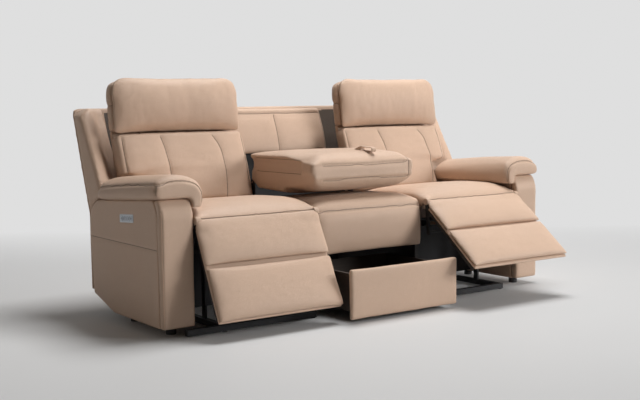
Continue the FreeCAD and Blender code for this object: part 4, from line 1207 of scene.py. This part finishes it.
# %% [markdown]
# The two seams of a face were traced in the picture, down to where an arm or the table hides
# them. From there they run on by judgement, as do the ones along the edges.

# %% Seams of the backs
# Seams as they run in a picture, and where they end when an arm or the table hides them.
BACK_SEAMS = {
    "left": [
        [(160.7, 136), (164.6, 145), (168, 155.8), (171.7, 172.5)],
        [(212.7, 135), (218.6, 143), (222.8, 152.4), (227, 171), (228.4, 190), (228.4, 197)],
    ],
    "right": [
        [(378.1, 130), (382.6, 138), (386.5, 147)],
        [(417.7, 129), (423.6, 136), (427.9, 145.8), (432.9, 164.4), (433.8, 181)],
    ],
}
SEAM_FEET = {
    "left": [(-0.752, 0.262, 0.60), (-0.756, 0.240, 0.55), (-0.760, 0.228, 0.525)],
    "right": [
        (0.560, 0.281, 0.66),
        (0.554, 0.262, 0.60),
        (0.548, 0.240, 0.55),
        (0.55, 0.228, 0.525),
    ],
}
EDGE_SEAMS = {"left": (-0.962, -0.3215), "right": (0.968, 0.332)}
SEAM_TOP, SEAM_BOTTOM = [(0.372, 0.815), (0.330, 0.70), (0.300, 0.635)], (0.27, 0.56)
print("traced seams:", sum(len(lines) for lines in BACK_SEAMS.values()))

# %% [markdown]
# With the shapes as functions, the covers themselves are short. A back swells most between
# its seams, and a headrest has slow waves that stand upright, as its leather hangs.

# %% Backs and headrests
for side, sign in SIDES.items():
    seams = [traced(f"{side}_back_cushion", *line) for line in BACK_SEAMS[side]]
    seams[0] += SEAM_FEET[side]
    seams += [[(x, *spot) for spot in SEAM_TOP] for x in EDGE_SEAMS[side]]
    seams[-1].append((EDGE_SEAMS[side][-1], *SEAM_BOTTOM))
    back_wide = spread(sign, BACK_NEAR, BACK_FAR)
    cover(
        f"{side}_back_leather",
        [f"{side}_back_cushion"],
        f"{side}_back_unit",
        seams,
        soften=5,
        swell=0.022,
        seed=11 + sign,
        wave_scale=(5, 5, 9),
        depth=0.003,
        stand_off=0.022,
        shape=lambda points: back_shape(points, back_wide),
    )
    pillow_wide = spread(sign, PILLOW_NEAR, PILLOW_FAR)
    cover(
        f"{side}_headrest_leather",
        [f"{side}_headrest_cushion"],
        f"{side}_headrest_unit",
        soften=6,
        swell=0.022,
        seed=14 + sign,
        wave_scale=(11, 11, 4),
        waves=0.0022,
        stand_off=0.022,
        shape=lambda points: pillow_shape(points, pillow_wide),
    )
    cover(
        f"{side}_headrest_case",
        [f"{side}_headrest_shell"],
        f"{side}_headrest_unit",
        [[(x * sign, y, 0.965) for y in (0.41, 0.45, 0.485)] for x in (0.321, 0.985)],
        size=0.008,
        swell=0.012,
        drawn_in=0.002,
        waves=0.0010,
        stand_off=0.022,
        shape=lambda points: pillow_shape(points, pillow_wide),
    )

# %% [markdown]
# ## Arms
# An arm is a padded box under a thick pillow-like pad. The pad has a seam all round its top,
# which turns down at the front on the inner side, and a short upright seam at the outer
# front corner.

# %% Arms
# The seam round the top of the right arm's pad, from its outer rear to its inner front.
CROWN_SEAM = [
    (1.1255, 0.30, 0.600),
    (1.1255, 0.15, 0.622),
    (1.1255, -0.05, 0.640),
    (1.1255, -0.22, 0.652),
    (1.118, -0.272, 0.655),
    (1.08, -0.286, 0.656),
    (1.00, -0.288, 0.658),
    (0.925, -0.286, 0.648),
    (0.897, -0.282, 0.615),
    (0.888, -0.279, 0.575),
    (0.888, -0.279, 0.540),
]
CORNER_SEAM = [(1.122, -0.272, 0.652), (1.124, -0.272, 0.625), (1.122, -0.270, 0.592)]
FACE_SEAM = [(1.0995, -0.284, 0.05), (1.0995, -0.284, 0.3), (1.0995, -0.284, 0.53)]


def on_side(sign, points):
    """Points of the right side on one side of the sofa."""
    return [(x * sign, y, z) for x, y, z in points]


for side, sign in SIDES.items():
    cover(
        f"{side}_arm_pad_leather",
        [f"{side}_arm_pad"],
        "frame",
        [on_side(sign, CROWN_SEAM), on_side(sign, CORNER_SEAM)],
        size=0.008,
        swell=0.022,
        seed=17 + sign,
        wave_scale=(7, 5, 7),
    )
    cover(
        f"{side}_arm_face_leather",
        [f"{side}_arm_front_panel"],
        "frame",
        [on_side(sign, FACE_SEAM)],
        size=0.008,
        soften=3,
        seed=20 + sign,
        waves=0.0018,
        wave_scale=(4, 4, 3),
        welt=0.0018,
        # The welt at the arm's front edge is lighter: a painted highlight.
        welt_finish=highlight_leather,
    )

# %% [markdown]
# The leather on the outer side of an arm is glued round a board, so it stays flat, with one
# level seam. The control plate lies in it, so its mesh keeps the measured one's hole.

# %% Arm sides
SIDE_SEAM = [(1.1, -0.245, 0.366), (1.1, 0.1, 0.366), (1.1, 0.437, 0.366)]


def side_leather(side, sign):
    """The arm's outer side: dense, with softened edges and its seam."""
    name = f"{side}_arm_side_leather"
    obj = new_piece(name, joined_mesh(name, [f"{side}_arm_side_panel"]), cover_leather)
    mesh = remeshed(obj, size=0.006)
    relaxed(mesh, rounds=2)
    ripple(mesh, amount=0.0007, scale=(3, 3, 3), seed=23 + sign)
    line = smooth_line(on_side(sign, SIDE_SEAM))
    press_seams(mesh, [line], depth=0.002, pucker=0.0004)
    smoothed(mesh)
    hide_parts(f"{side}_arm_side_panel")
    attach(obj, "frame")
    tubes = tube_mesh(name, [dropped(line, surface_of(mesh))], radius=0.0012)
    welt = new_piece(name + "_welt", tubes, piping_and_shade_leather)
    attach(welt, "frame")
    print(name, len(mesh.vertices), "points")


for side, sign in SIDES.items():
    side_leather(side, sign)

# %% [markdown]
# ## Wings and rear
# Behind each arm stands a wing, which carries the line of the arm up to the top of the back.
# One flat cover closes the rear. Shade is painted on its inner side, which is black low down
# and dark leather between the backs.

# %% Wings and rear panel
WING_SEAM = [
    (1.092, 0.348, 0.62),
    (1.092, 0.395, 0.70),
    (1.092, 0.440, 0.787),
    (1.090, 0.515, 0.93),
]
WING_NEAR, WING_FAR, WING_HIGH = 0.948, 1.098, (0.452, 0.955)
REAR_BOX = (-1.098, 1.098, 0.100, 0.955)
# The rear's inner side: how far out it shows, and where its black and dark painted shade end.
INNER_REACH, BLACK_SHADE_TOP, DARK_SHADE_TOP = 0.94, 0.72, 0.93
# A face counts as one of the inner side when its normal points forward by more than this.
FORWARD_SHARE = 0.3


def upright_shape(box, corners):
    """A shape function that rounds corners seen from the front."""
    return lambda points: rounded(points, MIDDLE, ACROSS, UPWARD, box, corners)


for side, sign in SIDES.items():
    wing_box = (*spread(sign, WING_NEAR, WING_FAR), *WING_HIGH)
    cover(
        f"{side}_wing_leather",
        [f"{side}_wing"],
        "frame",
        [on_side(sign, WING_SEAM)],
        soften=5,
        shape=upright_shape(wing_box, {(sign, 1): 0.055}),
        seed=26 + sign,
        waves=0.0022,
        wave_scale=(5, 5, 3),
        depth=0.002,
        welt=0.0,
    )
rear = cover(
    "rear_leather",
    ["rear_panel"],
    "frame",
    size=0.014,
    soften=2,
    waves=0.001,
    shape=upright_shape(REAR_BOX, {(-1, 1): 0.04, (1, 1): 0.04}),
)
# Painted shade: the forward faces of the rear's inner side are black low down, dark above.
rear.data.materials.append(black_shade_cloth)
rear.data.materials.append(painted_shade_leather)
for polygon in rear.data.polygons:
    x, _, z = polygon.center
    if abs(x) < INNER_REACH and z < DARK_SHADE_TOP and polygon.normal.y < -FORWARD_SHARE:
        polygon.material_index = 1 if z < BLACK_SHADE_TOP else 2

# %% [markdown]
# ## Middle seat
# The middle seat doesn't recline. Its leather falls in a rounded front down to the drawer.
# Behind it a panel closes the back, with a seam down its middle and one round its edge.

# %% Middle seat and the panel behind it
SEAM_STOPS = (-0.312, -0.16, 0, 0.16, 0.312)
SEAT_SEAM = [(x, -0.281 + 0.004 * abs(x / 0.3) ** 2, 0.476) for x in SEAM_STOPS]
SEAT_SIDE_SEAM = [(0.308, -0.262, 0.478), (0.308, -0.1, 0.515), (0.308, 0.2, 0.49)]
PANEL_SIDE_SEAM = [(0.306, 0.58, 0.935), (0.306, 0.54, 0.85), (0.306, 0.505, 0.72)]

cover(
    "middle_seat_leather",
    ["middle_seat_cushion"],
    "frame",
    [SEAT_SEAM, on_side(-1, SEAT_SIDE_SEAM), SEAT_SIDE_SEAM],
    soften=5,
    swell=0.014,
    seed=31,
    depth=0.0035,
    shape=widened(1, -0.318, 0.318, UPWARD, FORWARD, more=0.004, radius=0.035),
)
cover(
    "middle_back_leather",
    ["middle_back_panel"],
    "frame",
    [
        [(x, 0.560, 0.920) for x in (-0.31, 0, 0.31)],
        [(0.0, 0.555, 0.915), (0.0, 0.53, 0.82), (0.0, 0.503, 0.712)],
        PANEL_SIDE_SEAM,
        on_side(-1, PANEL_SIDE_SEAM),
    ],
    swell=0.010,
    seed=33,
    depth=0.0025,
)

# %% [markdown]
# ## The folded table
# The middle back folds forward. Its old rear face is now the table top, and its old lumbar
# cushion hangs below. One leather cover wraps it, with a seam down one side of its free end
# and two level seams across it. The pull strap is a leather loop on its top.

# %% Shape of the table
TABLE_WIDE = (-0.306, 0.306)
TABLE_LONG = (-0.237, 0.311)
TABLE_HIGH = (0.558, 0.738)
END_SEAM = [
    (0.292, 0.28, 0.735),
    (0.292, 0.0, 0.737),
    (0.286, -0.14, 0.733),
    (0.278, -0.200, 0.715),
    (0.272, -0.230, 0.680),
    (0.270, -0.234, 0.650),
    (0.266, -0.230, 0.607),
]
# The free end: its corners seen from above and from the front, and from where it is rounded.
PLAN_RADIUS, FRONT_RADIUS, NOSE_RADIUS = 0.03, 0.085, 0.075
END_START, END_FADE = -0.02, 0.14
TABLE_WIDER = 0.008
# The groove along each side, where the frame lies between the pad and the cushion.
GROOVE_START, GROOVE_LOW, GROOVE_HIGH, GROOVE_EDGE = -0.14, 0.643, 0.699, 0.27
GROOVE_DEPTH = 0.011
# Over what lengths it begins: from its front end, from above and below, and from the side.
FADE_BACK, FADE_LEVEL, FADE_SIDE = 0.012, 0.006, 0.02


def table_shape(points):
    """Rounds the free end of the table in plan, and in its elevation."""
    ends = {(-1, -1): PLAN_RADIUS, (1, -1): PLAN_RADIUS}
    plan = (*TABLE_WIDE, *TABLE_LONG)
    points = rounded(points, MIDDLE, ACROSS, (0, 1, 0), plan, ends)
    points = stretched_along(points, MIDDLE, ACROSS, *TABLE_WIDE, TABLE_WIDER, TABLE_WIDER)
    near = np.clip((END_START - points[:, 1]) / END_FADE, 0, 1)[:, None]
    corners = {(a, b): FRONT_RADIUS for b in (-1, 1) for a in (-1, 1)}
    turned = upright_shape((*TABLE_WIDE, *TABLE_HIGH), corners)(points)
    points = points + (turned - points) * near
    nose = {(-1, -1): NOSE_RADIUS, (-1, 1): FRONT_RADIUS}
    profile = (*TABLE_LONG, *TABLE_HIGH)
    points = rounded(points, MIDDLE, (0, 1, 0), UPWARD, profile, nose)
    behind = np.clip((points[:, 1] - GROOVE_START) / FADE_BACK, 0, 1)
    above = np.clip((points[:, 2] - GROOVE_LOW) / FADE_LEVEL, 0, 1)
    within = above * np.clip((GROOVE_HIGH - points[:, 2]) / FADE_LEVEL, 0, 1)
    beside = np.clip((np.abs(points[:, 0]) - GROOVE_EDGE) / FADE_SIDE, 0, 1)
    points[:, 0] -= np.sign(points[:, 0]) * behind * within * beside * GROOVE_DEPTH
    return points


print("the table is", round(TABLE_HIGH[1] - TABLE_HIGH[0], 3), "m thick")

# %% [markdown]
# Two level seams run along each side, where the pad, the frame and the cushion meet, and two
# more across the free end.

# %% Folded table
seams = [END_SEAM]
for x in TABLE_WIDE:
    seams += [[(x, y, z) for y in (-0.12, 0.05, 0.26)] for z in (0.700, 0.640)]
for z in (0.684, 0.606):
    seams.append([(-0.24, -0.233, z), (-0.12, -0.238, z), (0, -0.24, z), (0.27, -0.234, z)])
cover(
    "table_leather",
    ["table_top_pad", "table_frame", "table_cushion"],
    "table",
    seams,
    size=0.008,
    swell=0.014,
    seed=35,
    depth=0.003,
    shape=table_shape,
    stand_off=0.02,
)
cover("pull_strap_leather", ["pull_strap"], "table", size=0.0016, soften=1, waves=0)

# %% [markdown]
# ## Drawer
# The drawer's front is a thin padded board in the same leather.

# %% Drawer front
cover(
    "drawer_leather",
    ["drawer_front"],
    "drawer",
    size=0.007,
    soften=3,
    swell=0.006,
    seed=41,
    waves=0.0009,
)

# %% [markdown]
# ## Black sheets under the seats
# A thin black sheet hangs across the base under each end seat. It hides the works and paints
# the shade there, so the space between arm and footrest is black. It is stretched, so it has
# only a little slack in its middle.

# %% Black sheets that paint the shade
CLOTH_WIDE, CLOTH_HIGH = 0.61, 0.268
CLOTH_START, CLOTH_FOOT, CLOTH_PLACE = 0.328, 0.050, 0.030
# How deep the slack is, how often it creases across and upwards, and the step between sides.
CLOTH_SLACK = 0.004
CREASES_ACROSS, CREASES_UP, CREASE_SHIFT = 9, 14, 5
COLUMNS, ROWS = 62, 28


def shade_sheet(side, sign):
    name = f"{side}_shade_sheet"
    shape = bmesh.new()
    grid = []
    for column in range(COLUMNS + 1):
        line = []
        for row in range(ROWS + 1):
            x = CLOTH_START + CLOTH_WIDE * column / COLUMNS
            z = CLOTH_FOOT + CLOTH_HIGH * row / ROWS
            slack = math.sin(math.pi * column / COLUMNS) * math.sin(math.pi * row / ROWS)
            across = x * CREASES_ACROSS + CREASE_SHIFT * sign
            crease = noise.noise(Vector((across, 0, z * CREASES_UP)))
            line.append(shape.verts.new((x * sign, CLOTH_PLACE + CLOTH_SLACK * slack * crease, z)))
        grid.append(line)
    for first, second in zip(grid, grid[1:]):
        for row in range(ROWS):
            shape.faces.new((first[row], second[row], second[row + 1], first[row + 1]))
    bmesh.ops.recalc_face_normals(shape, faces=shape.faces)
    obj = new_piece(name, ended(shape, name), black_shade_cloth)
    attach(obj, "frame")


for side, sign in SIDES.items():
    shade_sheet(side, sign)
print("dust cloths hang from the base")

# %% [markdown]
# ## Marks on the buttons
# Each button carries a small plain mark: two arrows for in and out at the ends, and short
# bars between. They stand a little proud, as printed marks with thickness.

# %% Button marks
ARROW = [(-0.0045, 0.0), (0.003, 0.0055), (0.003, -0.0055)]
BAR = [(-0.0018, -0.0058), (0.0018, -0.0058), (0.0018, 0.0058), (-0.0018, 0.0058)]
MARKS = {1: ARROW, 2: BAR, 3: BAR, 4: BAR, 5: [(-a, b) for a, b in ARROW]}
# How deep a mark starts in its button, and how far it stands out.
MARK_LIFTS = (-0.0004, 0.00025)


def mark_mesh(side, sign, number, outline):
    """A thin plate of a given outline on the outer face of a button."""
    low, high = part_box(f"{side}_button_{number}")
    face = high.x if sign > 0 else low.x
    middle = (low + high) / 2
    layers = []
    for lift in MARK_LIFTS:
        x = face + lift * sign
        layers.append([(x, middle.y + a, middle.z + b) for a, b in outline])
    return prism_mesh("mark", *layers)


for side, sign in SIDES.items():
    for number, outline in MARKS.items():
        plate = mark_mesh(side, sign, number, outline)
        mark = new_piece(f"{side}_mark_{number}", plate, dark_mark)
        smoothed(mark.data, False)
        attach(mark, f"{side}_button_{number}")
print("marks stand on", len(SIDES) * len(MARKS), "buttons")

# %% [markdown]
# ## Finishes of the measured parts
# The works under the leather keep their measured meshes, each with its own finish. The
# record's slot says which. A few nodes are covered or lined otherwise than their slot.

# %% Finish the works
FINISHES = {
    "mechanism_steel": black_steel,
    "black_plastic": black_plastic,
    "button_plastic": button_plastic,
    "silver_trim": silver_metal,
    "bright_steel": bright_steel,
    "frame_board": black_board,
    "frame_wood": black_board,
    "footrest_edge": cover_leather,
    "back_cloth": cover_leather,
    "stretched_leather": cover_leather,
    "padded_leather": cover_leather,
    "rear_leather": cover_leather,
}
SPECIAL = {"drawer_box": drawer_board}
for side in SIDES:
    SPECIAL[f"{side}_back_frame"] = cover_leather
    SPECIAL[f"{side}_arm_frame"] = cover_leather
    # The seat frames' dark brown paints the shade on the seat boxes' sides.
    SPECIAL[f"{side}_seat_frame"] = skirt_board_painted_shade
for name, node in nodes.items():
    node.data.materials.clear()
    node.data.materials.append(SPECIAL.get(name, FINISHES[frame_slot(name)]))
print(len(nodes), "nodes finished")

# %% [markdown]
# ## The room
# A pale floor curves up into a pale wall behind the sofa. Shade is painted into its paper,
# which is a little darker to the right, and far behind the sofa the camera sees one even grey.

# %% Studio paper
BACKDROP_GREY = (0.737, 0.737, 0.737)
FACING = Vector((math.sin(CAMERA_YAW), math.cos(CAMERA_YAW), 0))
SIDEWAYS = Vector((math.cos(CAMERA_YAW), -math.sin(CAMERA_YAW), 0))


def reach_along(f, way):
    """How far a place lies along a direction."""
    return f.node(
        "ShaderNodeVectorMath", {"operation": "DOT_PRODUCT"}, {0: f.place(), 1: tuple(way)}, 1
    )


def plain_stage():
    """Pale paper. Far behind the sofa it fades to one even grey for the camera."""
    f = Finish("studio_paper")
    haze = f.noise(0.6, 3.0)
    # Painted shade: the paper is darker towards the right.
    paper = f.ramp((reach_along(f, SIDEWAYS) + 2.0) * 0.25, (0.0, 0.66), (1.0, 0.50))
    paper = (paper + haze * 0.04 - 0.02).limited()
    f.set(Base_Color=f.mix(paper, (0.0, 0.0, 0.0), (1.0, 1.0, 1.0)))
    f.set(Roughness=(0.6 + haze * 0.1).limited())
    along = reach_along(f, FACING)
    far = f.ramp((along - 0.2) * 0.36, (0.0, 0.0), (0.35, 0.22), (1.0, 1.0))
    rays = f.tree.nodes.new("ShaderNodeLightPath")
    seen = Value(f, rays.outputs["Is Camera Ray"]) + Value(f, rays.outputs["Is Glossy Ray"])
    seen = (seen + Value(f, rays.outputs["Is Transmission Ray"])).limited()
    glow = f.node("ShaderNodeEmission", {}, {"Color": BACKDROP_GREY, "Strength": 1.0})
    lit = Value(f, f.shader.outputs[0])
    shown = f.node("ShaderNodeMixShader", {}, {0: far * seen, 1: lit, 2: glow})
    f.tree.links.new(shown.socket, f.output.inputs["Surface"])
    return f.material


print("the wall fades to a grey of", BACKDROP_GREY[0])

# %% [markdown]
# The paper itself is one long strip, with a quarter turn between the floor and the wall.

# %% Floor and wall
# The paper's near edge, where it curves up, the curve's radius, its height and half width.
PAPER_NEAR, CURVE_START, CURVE_RADIUS, WALL_HEIGHT, HALF_WIDE = -3.0, 4.2, 2.2, 7.0, 9.0
CURVE_STEPS = 16

profile = [(PAPER_NEAR + CAMERA_PLACE.dot(FACING), 0.0), (CURVE_START, 0.0)]
for step in range(1, CURVE_STEPS + 1):
    angle = step * math.pi / (2 * CURVE_STEPS)
    reach = CURVE_START + CURVE_RADIUS * math.sin(angle)
    profile.append((reach, CURVE_RADIUS - CURVE_RADIUS * math.cos(angle)))
profile.append((CURVE_START + CURVE_RADIUS, WALL_HEIGHT))
shape = bmesh.new()
rows = []
for reach, height in profile:
    spots = [FACING * reach + SIDEWAYS * across for across in (-HALF_WIDE, HALF_WIDE)]
    rows.append([shape.verts.new((spot.x, spot.y, height)) for spot in spots])
quads_between(shape, rows)
bmesh.ops.recalc_face_normals(shape, faces=shape.faces)
stage = new_piece("stage", ended(shape, "stage"), plain_stage())
print("the paper has", len(rows), "folds")

# %% [markdown]
# ## Light
# The key light is a large soft box to the front right, as the sofa's left side is dark in
# the photograph. A second box above lights the seats, a faint one lifts the dark side, and
# the room adds a little warm light from everywhere.

# %% Lights


def soft_box(name, place, target, width, height, power, color=(1, 1, 1)):
    lamp = bpy.data.lights.new(name, "AREA")
    lamp.shape = "RECTANGLE"
    lamp.size, lamp.size_y = width, height
    lamp.energy = power
    lamp.color = color
    obj = bpy.data.objects.new(name, lamp)
    bpy.context.collection.objects.link(obj)
    obj.location = place
    obj.rotation_euler = (Vector(target) - Vector(place)).to_track_quat("-Z", "Y").to_euler()
    print(name, "light of", power, "W")


soft_box("key", (5.0, -5.7, 2.6), (0.0, -0.1, 0.45), 3.2, 2.6, 410)
soft_box("top", (1.2, 0.2, 5.0), (0.0, 0.0, 0.4), 2.4, 2.2, 250)
soft_box("fill", (-3.4, 1.3, 1.1), (-0.9, 0.0, 0.4), 1.6, 1.4, 5, (1.0, 0.95, 0.9))
world = bpy.data.worlds.new("studio")
world.use_nodes = True
background = world.node_tree.nodes["Background"]
background.inputs["Color"].default_value = (1.0, 0.94, 0.87, 1)
background.inputs["Strength"].default_value = 0.10
bpy.context.scene.world = world
